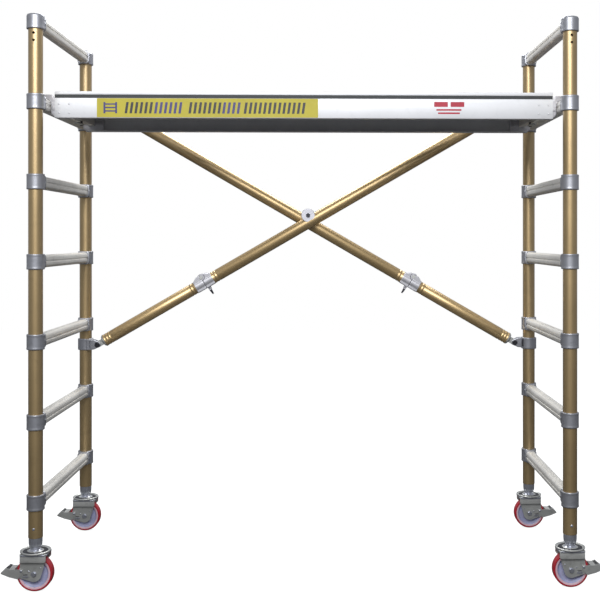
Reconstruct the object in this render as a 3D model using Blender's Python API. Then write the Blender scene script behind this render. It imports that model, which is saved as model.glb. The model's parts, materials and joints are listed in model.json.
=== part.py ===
"""A folding mobile aluminium scaffold with its hook-on plank: two ladder end frames, crossed folding braces
on the far side, and four braked swivel casters. Metres, +Z up, origin on the floor under the middle."""

import math

import bmesh
import bpy
from mathutils import Matrix, Vector

# Frames
POST_X = 0.940
POST_Y = 0.350
POST_RADIUS = 0.025
POST_WALL = 0.002
POST_BOTTOM = 0.186
RUNG_PITCH = 0.280
FIRST_RUNG = 0.309
RUNG_COUNT = 6
TOP_RAIL = FIRST_RUNG + RUNG_COUNT * RUNG_PITCH
RUNG_HALF_WIDTH = 0.0195
RUNG_HALF_HEIGHT = 0.0225
RUNG_CORNER = 0.007
RUNG_WALL = 0.0025
COLLAR_RADIUS = 0.031
COLLAR_HALF_HEIGHT = 0.027
CAP_THICKNESS = 0.0097
SOCKET_REACH = 0.045
SOCKET_GROWTH = (1.14, 1.12)
DRAIN_RADIUS = 0.003
LOCK_HOLE_RADIUS = 0.005
LOCK_HOLE_DROPS = (0.043, 0.0685)
STEM_HOLE_RADIUS = 0.003
STEM_HOLE_HEIGHT = 0.219

# Plank
BEAM_HALF_LENGTH = 0.905
BEAM_FACE = 0.240
BEAM_BOTTOM = 1.667
BEAM_WALL = 0.003
BEAM_HEIGHT = 0.096
GROOVE_DEPTH = 0.006
GROOVE_LOW = 0.072
GROOVE_HIGH = 0.084
DECK_THICKNESS = 0.0094
DECK_SETBACK = 0.002
DECK_REBATE = 0.0005
LEDGE_TOP = 0.083
NOSE_REACH = 0.022
LEDGE_REACH = 0.032
FOOT_REACH = 0.030
HOOK_THICKNESS = 0.0135
HOOK_TAIL = 0.070
HOOK_TIP_DROP = 0.0255
END_BEAM_WIDTH = 0.025
END_BEAM_LOW = 1.690
END_BEAM_HIGH = 1.7465
END_BEAM_SETBACK = 0.008
END_BEAM_WALL = 0.0025
LOCK_LENGTH = 0.080
LOCK_WIDTH = 0.020
LOCK_THICKNESS = 0.005
LOCK_DROP = 0.0105
LOCK_PIVOT_Y = 0.060
LOCK_PIN_RADIUS = 0.004

# Braces
BRACE_CENTRE = 1.297
BRACE_HALF_SPAN = 0.882
BRACE_HALF_RISE = 0.512
BRACE_RADIUS = 0.025
BRACE_WALL = 0.002
BRACE_OFFSET = 0.0255
BRACE_LENGTH = math.hypot(BRACE_HALF_SPAN, BRACE_HALF_RISE)
BRACE_ANGLE = math.atan2(BRACE_HALF_RISE, BRACE_HALF_SPAN)
FOLD_AT = 0.504
FOLD_PIN_RISE = 0.026
FOLD_EYE_RADIUS = 0.0125
FOLD_TONGUE = 0.007
FOLD_CHEEK = 0.016
FOLD_BLOCK = 0.045
FOLD_HALF_WIDTH = 0.0262
FOLD_PIN_RADIUS = 0.005
FOLD_SPLIT = 0.0006
TUBE_STOP = 0.018
TUBE_PLUG = 0.006
VENT_RADIUS = 0.003
LATCH_DROP = 0.0335
LATCH_LENGTH = 0.026
LATCH_HALF_WIDTH = 0.006
LATCH_PIN_RADIUS = 0.0022
LATCH_SETBACK = 0.008
PIVOT_RISE = 0.030
PIVOT_DISC_RADIUS = 0.028
PIVOT_LUG = 0.050
BOLT_RADIUS = 0.005
BOLT_HEAD_RADIUS = 0.009
BOLT_HEAD = 0.006
EYE_RADIUS = 0.013
EYE_HALF_WIDTH = 0.0072
EYE_NECK = 0.034
CHEEK_HALF_WIDTH = 0.016
CLAMP_RADIUS = 0.0305
CLAMP_HALF_HEIGHT = 0.024
CLAMP_PIN_RADIUS = 0.005

# Casters
WHEEL_RADIUS = 0.0625
TREAD = 0.0075
WHEEL_HALF_WIDTH = 0.016
AXLE_RADIUS = 0.005
LEG_INNER = 0.0192
LEG_OUTER = 0.0227
CROWN_HALF_DEPTH = 0.036
CROWN_LOW = 0.106
CROWN_HIGH = 0.135
CROWN_WALL = 0.0035
KINGPIN_RADIUS = 0.008
KINGPIN_TOP = 0.164
PLATE_RADIUS = 0.0525
PLATE_THICKNESS = 0.006
NECK_RADIUS = 0.016
SLEEVE_RADIUS = 0.0235
SLEEVE_LOW = 0.157
INSERT_RADIUS = 0.0222
INSERT_WALL = 0.0027
INSERT_TOP = 0.250
INSERT_FLOOR = 0.190
PEDAL_PIVOT = (0.043, 0.074)
PEDAL_OUTER = 0.0256
PEDAL_INNER = 0.0231
PEDAL_PIN_RADIUS = 0.003
PEDAL_TOP = 0.0885
PEDAL_SKIN = 0.003
SHOE_LOW = 0.066
SHOE_FACE = 0.0665
SHOE_HALF_WIDTH = 0.012

GAP = 0.0003
WELD = 0.00001
ROUND = 16
POST_ROUND = 20
WHEEL_ROUND = 20
FINE = 8


def clear_scene():
    for thing in list(bpy.data.objects):
        bpy.data.objects.remove(thing, do_unlink=True)


def material(name, colour, roughness, metallic):
    made = bpy.data.materials.get(name)
    if made:
        return made
    made = bpy.data.materials.new(name)
    made.use_nodes = True
    shader = made.node_tree.nodes["Principled BSDF"]
    shader.inputs["Base Color"].default_value = (*colour, 1.0)
    shader.inputs["Roughness"].default_value = roughness
    shader.inputs["Metallic"].default_value = metallic
    return made


GOLD = ("gold_anodised", (0.44, 0.32, 0.14), 0.32, 0.9)
CAST = ("cast_aluminium", (0.62, 0.62, 0.65), 0.42, 0.9)
MILL = ("mill_aluminium", (0.60, 0.58, 0.54), 0.40, 0.85)
BRIGHT = ("bright_aluminium", (0.78, 0.79, 0.81), 0.30, 0.85)
ZINC = ("zinc_steel", (0.42, 0.43, 0.43), 0.38, 0.9)
DARK = ("dark_steel", (0.05, 0.05, 0.06), 0.45, 0.8)
RED = ("red_polyurethane", (0.55, 0.03, 0.05), 0.40, 0.0)
CORE = ("wheel_core", (0.60, 0.62, 0.78), 0.35, 0.1)
PLYWOOD = ("phenolic_plywood", (0.10, 0.055, 0.03), 0.60, 0.0)


def circumscribed(radius, sides):
    """The corner radius of a polygon whose flats stay outside this circle."""
    return radius / math.cos(math.pi / sides)


def arc(centre, radius, start, end, steps):
    """Points along an arc in degrees, both ends included."""
    points = []
    for i in range(steps + 1):
        angle = math.radians(start + (end - start) * i / steps)
        points.append((centre[0] + radius * math.cos(angle), centre[1] + radius * math.sin(angle)))
    return points


def finished_mesh(bm):
    bmesh.ops.recalc_face_normals(bm, faces=bm.faces)
    mesh = bpy.data.meshes.new("shape")
    bm.to_mesh(mesh)
    bm.free()
    return mesh


def prism(axis, outline, low, high):
    """The outline extruded from low to high along X, Y or Z. It is given in the other two axes, in order."""
    bm = bmesh.new()
    rings = []
    for place in (low, high):
        ring = []
        for a, b in outline:
            corner = {"X": (place, a, b), "Y": (a, place, b), "Z": (a, b, place)}[axis]
            ring.append(bm.verts.new(corner))
        rings.append(ring)
    bm.faces.new(rings[0])
    bm.faces.new(reversed(rings[1]))
    for i in range(len(outline)):
        j = (i + 1) % len(outline)
        bm.faces.new((rings[0][i], rings[0][j], rings[1][j], rings[1][i]))
    return finished_mesh(bm)


def block(low, high):
    outline = ((low[1], low[2]), (high[1], low[2]), (high[1], high[2]), (low[1], high[2]))
    return prism("X", outline, low[0], high[0])


def turned(axis, profile, sides, centre=(0.0, 0.0, 0.0), closed=True):
    """A profile of (radius, height) turned about X, Y or Z. An open profile starts and ends on the axis."""
    bm = bmesh.new()
    turn = 2 * math.pi / sides
    rings = []
    for radius, height in profile:
        ring = []
        for i in range(1 if radius == 0 else sides):
            a = radius * math.sin(i * turn)
            b = -radius * math.cos(i * turn)
            corner = {"X": (height, a, b), "Y": (a, height, b), "Z": (a, b, height)}[axis]
            ring.append(bm.verts.new(Vector(corner) + Vector(centre)))
        rings.append(ring)
    pairs = list(zip(rings, rings[1:]))
    if closed:
        pairs.append((rings[-1], rings[0]))
    for first, second in pairs:
        for i in range(sides):
            j = (i + 1) % sides
            corners = [first[i % len(first)], first[j % len(first)]]
            corners += [second[j % len(second)], second[i % len(second)]]
            bm.faces.new(list(dict.fromkeys(corners)))
    return finished_mesh(bm)


def rod(axis, radius, low, high, centre=(0.0, 0.0, 0.0), sides=FINE):
    return turned(axis, ((0, low), (radius, low), (radius, high), (0, high)), sides, centre, closed=False)


def combined(operation, base, tools, solver="EXACT"):
    """One mesh: the base joined with the tools, cut by them, or kept only inside them."""
    scratch = [bpy.data.objects.new("scratch", mesh) for mesh in (base, *tools)]
    for thing in scratch:
        bpy.context.collection.objects.link(thing)
    for tool in scratch[1:]:
        step = scratch[0].modifiers.new("step", "BOOLEAN")
        step.operation = operation
        step.solver = solver
        step.object = tool
    graph = bpy.context.evaluated_depsgraph_get()
    bm = bmesh.new()
    bm.from_mesh(scratch[0].evaluated_get(graph).data)
    bmesh.ops.remove_doubles(bm, verts=bm.verts, dist=WELD)
    bmesh.ops.dissolve_degenerate(bm, edges=bm.edges, dist=WELD)
    for thing in scratch:
        bpy.data.objects.remove(thing, do_unlink=True)
    return finished_mesh(bm)


def joined(base, *tools):
    return combined("UNION", base, tools)


def cut(base, *tools):
    return combined("DIFFERENCE", base, tools)


def place(name, shape, look, matrix=None, origin=(0.0, 0.0, 0.0)):
    """A node from a copy of the shape, put in place by the matrix, with its own origin point."""
    mesh = shape.copy()
    mesh.name = name
    mesh.transform(Matrix.Translation(-Vector(origin)) @ (matrix or Matrix.Identity(4)))
    bm = bmesh.new()
    bm.from_mesh(mesh)
    bmesh.ops.recalc_face_normals(bm, faces=bm.faces)
    bm.to_mesh(mesh)
    bm.free()
    mesh.materials.clear()
    mesh.materials.append(material(*look))
    mesh.shade_smooth()
    mesh.set_sharp_from_angle(angle=math.radians(35))
    thing = bpy.data.objects.new(name, mesh)
    thing.location = origin
    bpy.context.collection.objects.link(thing)
    return thing


def at(x, y, z):
    return Matrix.Translation((x, y, z))


def mirrored_to(side, x, y, z):
    """Moves a shape there, and mirrors it in X on the left side."""
    return at(x, y, z) @ Matrix.Diagonal((side, 1, 1, 1))


SIDES = (("left", -1), ("right", 1))
ENDS = (("near", -1), ("far", 1))


# Frames ------------------------------------------------------------------------------------------


def post_shape(outward):
    top = TOP_RAIL + COLLAR_HALF_HEIGHT - CAP_THICKNESS - GAP
    inner = POST_RADIUS - POST_WALL
    tube = turned(
        "Z",
        ((POST_RADIUS, POST_BOTTOM), (POST_RADIUS, top), (inner, top), (inner, POST_BOTTOM)),
        POST_ROUND,
    )
    holes = []
    span = sorted((0.010 * outward, 0.030 * outward))
    for drop in LOCK_HOLE_DROPS:
        holes.append(rod("Y", LOCK_HOLE_RADIUS, *span, (0, 0, TOP_RAIL - drop)))
    holes.append(rod("Y", STEM_HOLE_RADIUS, *span, (0, 0, STEM_HOLE_HEIGHT)))
    return cut(tube, *holes)


def bar_outline(inset=0.0):
    """The rung's section: an upright oblong with cut corners."""
    w = RUNG_HALF_WIDTH - inset
    h = RUNG_HALF_HEIGHT - inset
    c = RUNG_CORNER - 0.4 * inset
    right = [(w - c, -h), (w, c - h), (w, h - c), (w - c, h)]
    return right + [(-x, z) for x, z in reversed(right)]


def rung_shape(capped):
    """A hollow rung with the cast collars that grip the posts. The top rail's collars are capped."""
    end = POST_Y - COLLAR_RADIUS + 0.001
    shape = prism("Y", bar_outline(), -end, end)
    collars = []
    bores = []
    bore = circumscribed(POST_RADIUS + GAP, ROUND)
    low = -COLLAR_HALF_HEIGHT
    high = COLLAR_HALF_HEIGHT
    for _, end_side in ENDS:
        centre = (0, end_side * POST_Y, 0)
        if capped:
            crown = [(0, low), (COLLAR_RADIUS, low), (COLLAR_RADIUS, high - 0.008)]
            crown += [(0.024, high - 0.001), (0, high)]
            collars.append(turned("Z", crown, ROUND, centre, closed=False))
            bores.append(rod("Z", bore, 2 * low, high - CAP_THICKNESS, centre, ROUND))
        else:
            collars.append(rod("Z", COLLAR_RADIUS, low, high, centre, ROUND))
            bores.append(rod("Z", bore, 2 * low, 2 * high, centre, ROUND))
        span = sorted((end_side * (POST_Y - SOCKET_REACH), end_side * (POST_Y - POST_RADIUS - 0.002)))
        socket = [(SOCKET_GROWTH[0] * x, SOCKET_GROWTH[1] * z) for x, z in bar_outline()]
        collars.append(prism("Y", socket, *span))
    shape = joined(shape, *collars)
    hollow_end = POST_Y - SOCKET_REACH + 0.006
    hollow = prism("Y", bar_outline(RUNG_WALL), -hollow_end, hollow_end)
    drain = rod("Z", DRAIN_RADIUS, -0.030, 0.0)
    return combined("DIFFERENCE", shape, [hollow, drain, *bores], "MANIFOLD")


def build_frames():
    rung = rung_shape(False)
    rail = rung_shape(True)
    posts = {end: post_shape(end) for _, end in ENDS}
    for side_name, side in SIDES:
        for end_name, end in ENDS:
            place(f"{side_name}_post_{end_name}", posts[end], GOLD, at(side * POST_X, end * POST_Y, 0))
        for level in range(RUNG_COUNT):
            height = FIRST_RUNG + level * RUNG_PITCH
            place(f"{side_name}_rung_{level + 1}", rung, CAST, at(side * POST_X, 0, height))
        place(f"{side_name}_top_rail", rail, CAST, at(side * POST_X, 0, TOP_RAIL))


# Plank -------------------------------------------------------------------------------------------


def beam_outline():
    """The side beam's section, from its outer face inwards and from its foot up."""
    t = BEAM_WALL
    back = GROOVE_DEPTH + t
    return (
        (0, 0),
        (FOOT_REACH, 0),
        (FOOT_REACH, t),
        (t, t),
        (t, GROOVE_LOW - t),
        (back, GROOVE_LOW - t),
        (back, LEDGE_TOP - t),
        (LEDGE_REACH, LEDGE_TOP - t),
        (LEDGE_REACH, LEDGE_TOP),
        (back, LEDGE_TOP),
        (back, BEAM_HEIGHT - t),
        (NOSE_REACH, BEAM_HEIGHT - t),
        (NOSE_REACH, BEAM_HEIGHT - 0.0008),
        (NOSE_REACH - 0.001, BEAM_HEIGHT),
        (0.003, BEAM_HEIGHT),
        (0, BEAM_HEIGHT - 0.003),
        (0, GROOVE_HIGH),
        (GROOVE_DEPTH, GROOVE_HIGH),
        (GROOVE_DEPTH, GROOVE_LOW),
        (0, GROOVE_LOW),
    )


def hook_shape():
    """The right-hand cast hook, in X and Z: a tail inside the beam, a neck, and a claw over the rung."""
    rung_z = FIRST_RUNG + (RUNG_COUNT - 1) * RUNG_PITCH
    inner = POST_X - RUNG_HALF_WIDTH - 0.001
    outer = POST_X + RUNG_HALF_WIDTH + 0.001
    top = rung_z + RUNG_HALF_HEIGHT + GAP
    corner = RUNG_CORNER + 0.0005
    tail_low = BEAM_BOTTOM + BEAM_WALL + GAP
    tail_high = BEAM_BOTTOM + GROOVE_LOW - BEAM_WALL - GAP
    outline = [
        (BEAM_HALF_LENGTH - HOOK_TAIL, tail_low),
        (BEAM_HALF_LENGTH + 0.002, tail_low),
        (inner, tail_low + 0.012),
        (inner, top - corner),
        (inner + corner, top),
        (outer - corner, top),
        (outer, top - corner),
        (outer, top - HOOK_TIP_DROP),
        (outer + 0.005, top - HOOK_TIP_DROP - 0.003),
        (outer + 0.012, top - HOOK_TIP_DROP),
    ]
    outline += arc((outer - 0.006, top + 0.002), 0.018, 0, 80, 4)
    outline += [
        (BEAM_HALF_LENGTH + 0.010, top + 0.019),
        (BEAM_HALF_LENGTH + 0.002, tail_high),
        (BEAM_HALF_LENGTH - HOOK_TAIL, tail_high),
    ]
    face = BEAM_FACE - BEAM_WALL - GAP
    return prism("Y", outline, face - HOOK_THICKNESS, face)


def end_beam_shape():
    outer = BEAM_HALF_LENGTH - END_BEAM_SETBACK
    inner = outer - END_BEAM_WIDTH
    reach = BEAM_FACE - BEAM_WALL - HOOK_THICKNESS - 2 * GAP
    wall = END_BEAM_WALL
    tube = block((inner, -reach, END_BEAM_LOW), (outer, reach, END_BEAM_HIGH))
    hollow = block(
        (inner + wall, -2 * reach, END_BEAM_LOW + wall),
        (outer - wall, 2 * reach, END_BEAM_HIGH - wall),
    )
    bore = circumscribed(LOCK_PIN_RADIUS + GAP, FINE)
    pin_hole = rod("Z", bore, END_BEAM_LOW - 0.01, END_BEAM_LOW + 0.01, (*lock_pivot(), 0))
    return cut(tube, hollow, pin_hole)


def lock_pivot():
    return (BEAM_HALF_LENGTH - END_BEAM_SETBACK - END_BEAM_WIDTH / 2, LOCK_PIVOT_Y)


def wind_lock_shape():
    """A flat latch under the end beam, lying along it, that turns out under the rung."""
    x, y = lock_pivot()
    half = LOCK_WIDTH / 2
    outline = arc((x, y), half, 0, 180, 5) + arc((x, y - LOCK_LENGTH + LOCK_WIDTH), half, 180, 360, 5)
    top = END_BEAM_LOW - LOCK_DROP
    plate = prism("Z", outline, top - LOCK_THICKNESS, top)
    pin = rod("Z", LOCK_PIN_RADIUS, top - 0.002, END_BEAM_LOW + 0.008, (x, y, 0))
    return joined(plate, pin)


def deck_shape():
    """The board between the beams, with its long edges rebated where they lie under the beams' noses."""
    edge = BEAM_FACE - GROOVE_DEPTH - BEAM_WALL - GAP
    open_edge = BEAM_FACE - NOSE_REACH - GAP
    low = BEAM_BOTTOM + LEDGE_TOP + GAP
    high = low + DECK_THICKNESS
    outline = (
        (-edge, low),
        (edge, low),
        (edge, high - DECK_REBATE),
        (open_edge, high - DECK_REBATE),
        (open_edge, high),
        (-open_edge, high),
        (-open_edge, high - DECK_REBATE),
        (-edge, high - DECK_REBATE),
    )
    return prism("X", outline, DECK_SETBACK - BEAM_HALF_LENGTH, BEAM_HALF_LENGTH - DECK_SETBACK)


def build_plank():
    for end_name, end in ENDS:
        outline = [(end * (BEAM_FACE - u), BEAM_BOTTOM + v) for u, v in beam_outline()]
        place(f"plank_beam_{end_name}", prism("X", outline, -BEAM_HALF_LENGTH, BEAM_HALF_LENGTH), BRIGHT)
    place("plank_deck", deck_shape(), PLYWOOD)
    hook = hook_shape()
    end_beam = end_beam_shape()
    lock = wind_lock_shape()
    x, y = lock_pivot()
    for side_name, side in SIDES:
        mirror = Matrix.Diagonal((side, 1, 1, 1))
        for end_name, end in ENDS:
            place(f"hook_{side_name}_{end_name}", hook, CAST, mirror @ Matrix.Diagonal((1, end, 1, 1)))
        place(f"plank_end_beam_{side_name}", end_beam, MILL, mirror)
        place(f"wind_lock_{side_name}", lock, ZINC, mirror, (side * x, y, END_BEAM_LOW))


# Braces ------------------------------------------------------------------------------------------
# A brace is drawn along its own line: X runs from the crossing to its lower end, and Z is square to it.


def brace_matrix(side):
    """To world axes, for the brace whose lower end is on this side. The left one is the front one."""
    along = Vector((side * math.cos(BRACE_ANGLE), 0, -math.sin(BRACE_ANGLE)))
    across = Vector((side * math.sin(BRACE_ANGLE), 0, math.cos(BRACE_ANGLE)))
    matrix = Matrix.Identity(4)
    matrix.col[0] = (*along, 0)
    matrix.col[2] = (*across, 0)
    matrix.col[3] = (0, POST_Y + side * BRACE_OFFSET, BRACE_CENTRE, 1)
    return matrix


def brace_tube(low, high):
    """A tube with its ends plugged, and a small vent hole on its underside."""
    outer = rod("X", BRACE_RADIUS, low, high, sides=ROUND)
    inner = rod("X", BRACE_RADIUS - BRACE_WALL, low + TUBE_PLUG, high - TUBE_PLUG, sides=ROUND)
    vent = rod("Z", VENT_RADIUS, -0.040, 0, (0.5 * (low + high), 0, 0))
    return outer, (inner, vent)


def end_eye(direction):
    """The tongue that a clamp's pin passes through."""
    pivot = direction * BRACE_LENGTH
    neck = direction * (BRACE_LENGTH - EYE_NECK - 0.010)
    start, end = (-90, 90) if direction > 0 else (270, 90)
    outline = [(neck, EYE_RADIUS), (neck, -EYE_RADIUS), *arc((pivot, 0), EYE_RADIUS, start, end, 8)]
    return prism("Y", outline, -EYE_HALF_WIDTH, EYE_HALF_WIDTH)


def eye_bore(direction):
    radius = circumscribed(CLAMP_PIN_RADIUS + GAP, FINE)
    return rod("Y", radius, -0.05, 0.05, (direction * BRACE_LENGTH, 0, 0))


def fold_block(direction):
    """Half of the fold hinge's casting, with the eyes of its pin left out."""
    pin = FOLD_AT
    far = pin - direction * FOLD_BLOCK
    near = pin - direction * FOLD_SPLIT
    step = pin - direction * (FOLD_EYE_RADIUS + 0.003)
    low = -FOLD_HALF_WIDTH
    high = FOLD_PIN_RISE + 0.008
    outline = (
        (far, low + 0.004),
        (far + direction * 0.004, low),
        (near, low),
        (near, 0.008),
        (step, 0.014),
        (step, high - 0.006),
        (step - direction * 0.006, high),
        (far + direction * 0.008, high - 0.004),
        (far, high - 0.014),
    )
    return prism("Y", outline, -FOLD_HALF_WIDTH, FOLD_HALF_WIDTH)


def fold_eye(direction, front, rear):
    """An eye round the fold pin, with its web back to the casting on this side."""
    back = FOLD_AT - direction * (FOLD_EYE_RADIUS + 0.008)
    centre = (FOLD_AT, FOLD_PIN_RISE)
    start, end = (270, 450) if direction > 0 else (270, 90)
    high = FOLD_PIN_RISE + FOLD_EYE_RADIUS - 0.006
    low = FOLD_PIN_RISE - FOLD_EYE_RADIUS + 0.004
    outline = [(back, high), (back, low), *arc(centre, FOLD_EYE_RADIUS, start, end, 8)]
    return prism("Y", outline, front, rear)


def latch_pivot():
    return (FOLD_AT - LATCH_SETBACK, -LATCH_DROP)


def arm_shape(facing):
    """The long upper member: clamp eye, tube, crossing lug and the arm's half of the fold hinge."""
    outer, hollows = brace_tube(-BRACE_LENGTH + EYE_NECK, FOLD_AT - TUBE_STOP)
    pivot = (-PIVOT_RISE * math.sin(BRACE_ANGLE), 0, PIVOT_RISE * math.cos(BRACE_ANGLE))
    face = facing * (BRACE_OFFSET - GAP)
    lug_back = face - facing * PIVOT_LUG
    lug = rod("Y", PIVOT_DISC_RADIUS, *sorted((face, lug_back)), pivot, ROUND)
    latch_x, latch_z = latch_pivot()
    ears = []
    for _, end in ENDS:
        span = sorted((end * (LATCH_HALF_WIDTH + GAP), end * (LATCH_HALF_WIDTH + 0.0035)))
        outline = [(latch_x - 0.006, -0.024)]
        outline += arc((latch_x, latch_z), 0.006, 180, 360, 6)
        outline += [(latch_x + 0.006, -0.024)]
        ears.append(prism("Y", outline, *span))
    tongue = fold_eye(1, -FOLD_TONGUE, FOLD_TONGUE)
    shape = joined(outer, end_eye(-1), lug, fold_block(1), tongue, *ears)
    bores = []
    for radius, centre in (
        (BOLT_RADIUS, pivot),
        (FOLD_PIN_RADIUS, (FOLD_AT, 0, FOLD_PIN_RISE)),
        (LATCH_PIN_RADIUS, (latch_x, 0, latch_z)),
    ):
        bores.append(rod("Y", circumscribed(radius + GAP, FINE), -0.05, 0.05, centre))
    return cut(shape, *hollows, eye_bore(-1), *bores)


def link_shape():
    """The short lower member: its half of the fold hinge with the fold pin, tube and clamp eye."""
    outer, hollows = brace_tube(FOLD_AT + TUBE_STOP, BRACE_LENGTH - EYE_NECK)
    cheeks = []
    for _, end in ENDS:
        span = sorted((end * (FOLD_TONGUE + GAP), end * FOLD_CHEEK))
        cheeks.append(fold_eye(-1, *span))
    reach = FOLD_CHEEK + 0.003
    pin = rod("Y", FOLD_PIN_RADIUS, -reach, reach, (FOLD_AT, 0, FOLD_PIN_RISE))
    shape = joined(outer, end_eye(1), fold_block(-1), pin, *cheeks)
    return cut(shape, *hollows, eye_bore(1))


def latch_shape():
    """The fold hinge's release lever, hanging below it, with its own small pin."""
    x, z = latch_pivot()
    outline = arc((x, z), 0.0045, 180, 0, 5)
    outline += [(x + 0.0055, z - 0.006), (x + 0.002, z - LATCH_LENGTH), (x - 0.003, z - LATCH_LENGTH)]
    lever = prism("Y", outline, -LATCH_HALF_WIDTH, LATCH_HALF_WIDTH)
    reach = LATCH_HALF_WIDTH + 0.0045
    pin = rod("Y", LATCH_PIN_RADIUS, -reach, reach, (x, 0, z))
    return joined(lever, pin)


def clamp_shape(offset):
    """A band round the post with two cheeks reaching in towards the brace's eye, drawn for the left side."""
    centre_x = POST_X - BRACE_HALF_SPAN
    band = rod("Z", CLAMP_RADIUS, -CLAMP_HALF_HEIGHT, CLAMP_HALF_HEIGHT, sides=ROUND)
    outline = [(0, CLAMP_HALF_HEIGHT - 0.001), (0, 0.001 - CLAMP_HALF_HEIGHT), (0.040, -0.022)]
    outline += arc((centre_x, 0), EYE_RADIUS, -60, 60, 5)
    outline += [(0.040, 0.022)]
    lug = prism("Y", outline, offset - CHEEK_HALF_WIDTH, offset + CHEEK_HALF_WIDTH)
    slot = block(
        (centre_x - 0.0225, offset - EYE_HALF_WIDTH - GAP, -0.05),
        (0.2, offset + EYE_HALF_WIDTH + GAP, 0.05),
    )
    reach = CHEEK_HALF_WIDTH + 0.003
    pin = rod("Y", CLAMP_PIN_RADIUS, offset - reach, offset + reach, (centre_x, 0, 0))
    bore = rod("Z", circumscribed(POST_RADIUS + GAP, ROUND), -0.1, 0.1, sides=ROUND)
    return joined(cut(joined(band, lug), slot, bore), pin)


def build_braces():
    link = link_shape()
    latch = latch_shape()
    latch_x, latch_z = latch_pivot()
    for letter, side in (("a", -1), ("b", 1)):
        matrix = brace_matrix(side)
        place(f"brace_{letter}_arm", arm_shape(-side), GOLD, matrix)
        place(f"brace_{letter}_link", link, GOLD, matrix)
        origin = matrix @ Vector((latch_x, 0, latch_z))
        place(f"fold_latch_{letter}", latch, DARK, matrix, origin)
    low = BRACE_CENTRE - BRACE_HALF_RISE
    high = BRACE_CENTRE + BRACE_HALF_RISE
    for side_name, side in SIDES:
        for level, height, tilt in (("lower", low, side), ("upper", high, -side)):
            matrix = mirrored_to(-side, side * POST_X, POST_Y, height)
            place(f"{level}_clamp_{side_name}", clamp_shape(tilt * BRACE_OFFSET), CAST, matrix)
    reach = PIVOT_LUG + 2 * GAP
    bolt = joined(
        rod("Y", BOLT_RADIUS, -reach - 0.001, reach + 0.001),
        rod("Y", BOLT_HEAD_RADIUS, -reach - BOLT_HEAD, -reach, sides=6),
        rod("Y", BOLT_HEAD_RADIUS, reach, reach + BOLT_HEAD, sides=6),
    )
    place("brace_pivot_bolt", bolt, DARK, at(0, POST_Y, BRACE_CENTRE + PIVOT_RISE))


# Casters -----------------------------------------------------------------------------------------
# A caster is drawn under its post at the origin, with its brake pedal towards +X.


def stem_shape():
    """The insert inside the post, the sleeve below it and the swivel's top plate, bored for the kingpin."""
    bore = circumscribed(KINGPIN_RADIUS + GAP, ROUND)
    plate = CROWN_HIGH + GAP
    profile = (
        (0, KINGPIN_TOP + 0.001),
        (bore, KINGPIN_TOP + 0.001),
        (bore, plate),
        (PLATE_RADIUS, plate),
        (PLATE_RADIUS, plate + PLATE_THICKNESS),
        (NECK_RADIUS, plate + PLATE_THICKNESS),
        (SLEEVE_RADIUS, SLEEVE_LOW),
        (SLEEVE_RADIUS, POST_BOTTOM - GAP),
        (INSERT_RADIUS, POST_BOTTOM - GAP),
        (INSERT_RADIUS, INSERT_TOP),
        (INSERT_RADIUS - INSERT_WALL, INSERT_TOP),
        (INSERT_RADIUS - INSERT_WALL, INSERT_FLOOR),
        (0, INSERT_FLOOR),
    )
    return turned("Z", profile, ROUND, closed=False)


def fork_shape():
    """The stamped fork: crown, two legs, kingpin and axle bolt."""
    section = [
        (CROWN_HALF_DEPTH, CROWN_HIGH),
        (CROWN_HALF_DEPTH, CROWN_LOW),
        (LEG_OUTER, CROWN_LOW),
        (LEG_OUTER, 0),
        (LEG_INNER, 0),
        (LEG_INNER, CROWN_LOW + CROWN_WALL),
        (CROWN_HALF_DEPTH - CROWN_WALL, CROWN_LOW + CROWN_WALL),
        (CROWN_HALF_DEPTH - CROWN_WALL, CROWN_HIGH - 0.005),
    ]
    section += [(-y, z) for y, z in reversed(section)]
    stamped = prism("X", section, -0.060, 0.060)
    side_view = [
        (0.0445, 0.150),
        (0.0445, CROWN_LOW + 0.002),
        (0.048, CROWN_LOW - 0.006),
        (0.048, 0.050),
    ]
    side_view += arc((0, WHEEL_RADIUS), 0.0265, -62, -150, 5)
    side_view += [
        (-0.034, 0.085),
        (-0.038, CROWN_LOW),
        (-0.0445, CROWN_LOW + 0.004),
        (-0.0445, 0.150),
    ]
    shape = combined("INTERSECT", stamped, [prism("Y", side_view, -0.050, 0.050)])
    axle = rod("Y", AXLE_RADIUS, -LEG_OUTER - 0.001, LEG_OUTER + 0.001, (0, 0, WHEEL_RADIUS))
    heads = []
    for _, end in ENDS:
        span = sorted((end * (LEG_OUTER - 0.001), end * (LEG_OUTER + 0.0055)))
        heads.append(rod("Y", 0.0085, *span, (0, 0, WHEEL_RADIUS), 6))
    kingpin = rod("Z", KINGPIN_RADIUS, CROWN_HIGH - 0.003, KINGPIN_TOP, sides=ROUND // 2)
    shape = joined(shape, axle, kingpin, *heads)
    pivot_x, pivot_z = PEDAL_PIVOT
    pedal_bore = circumscribed(PEDAL_PIN_RADIUS + GAP, FINE)
    return cut(shape, rod("Y", pedal_bore, -0.05, 0.05, (pivot_x, 0, pivot_z)))


def wheel_core_shape():
    rim = WHEEL_RADIUS - TREAD
    half = WHEEL_HALF_WIDTH
    bore = circumscribed(AXLE_RADIUS + GAP, WHEEL_ROUND)
    face = [(bore, half + 0.001), (0.017, half + 0.001), (0.019, 0.007)]
    face += [(rim - 0.009, 0.007), (rim, half - 0.001)]
    profile = face + [(radius, -y) for radius, y in reversed(face)]
    return turned("Y", profile, WHEEL_ROUND, (0, 0, WHEEL_RADIUS))


def tyre_shape():
    inner = circumscribed(WHEEL_RADIUS - TREAD + GAP, WHEEL_ROUND)
    half = WHEEL_HALF_WIDTH
    profile = (
        (inner, -half),
        (inner, half),
        (WHEEL_RADIUS - 0.003, half),
        (WHEEL_RADIUS, half - 0.004),
        (WHEEL_RADIUS, 0.004 - half),
        (WHEEL_RADIUS - 0.003, -half),
    )
    return turned("Y", profile, WHEEL_ROUND, (0, 0, WHEEL_RADIUS))


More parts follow.
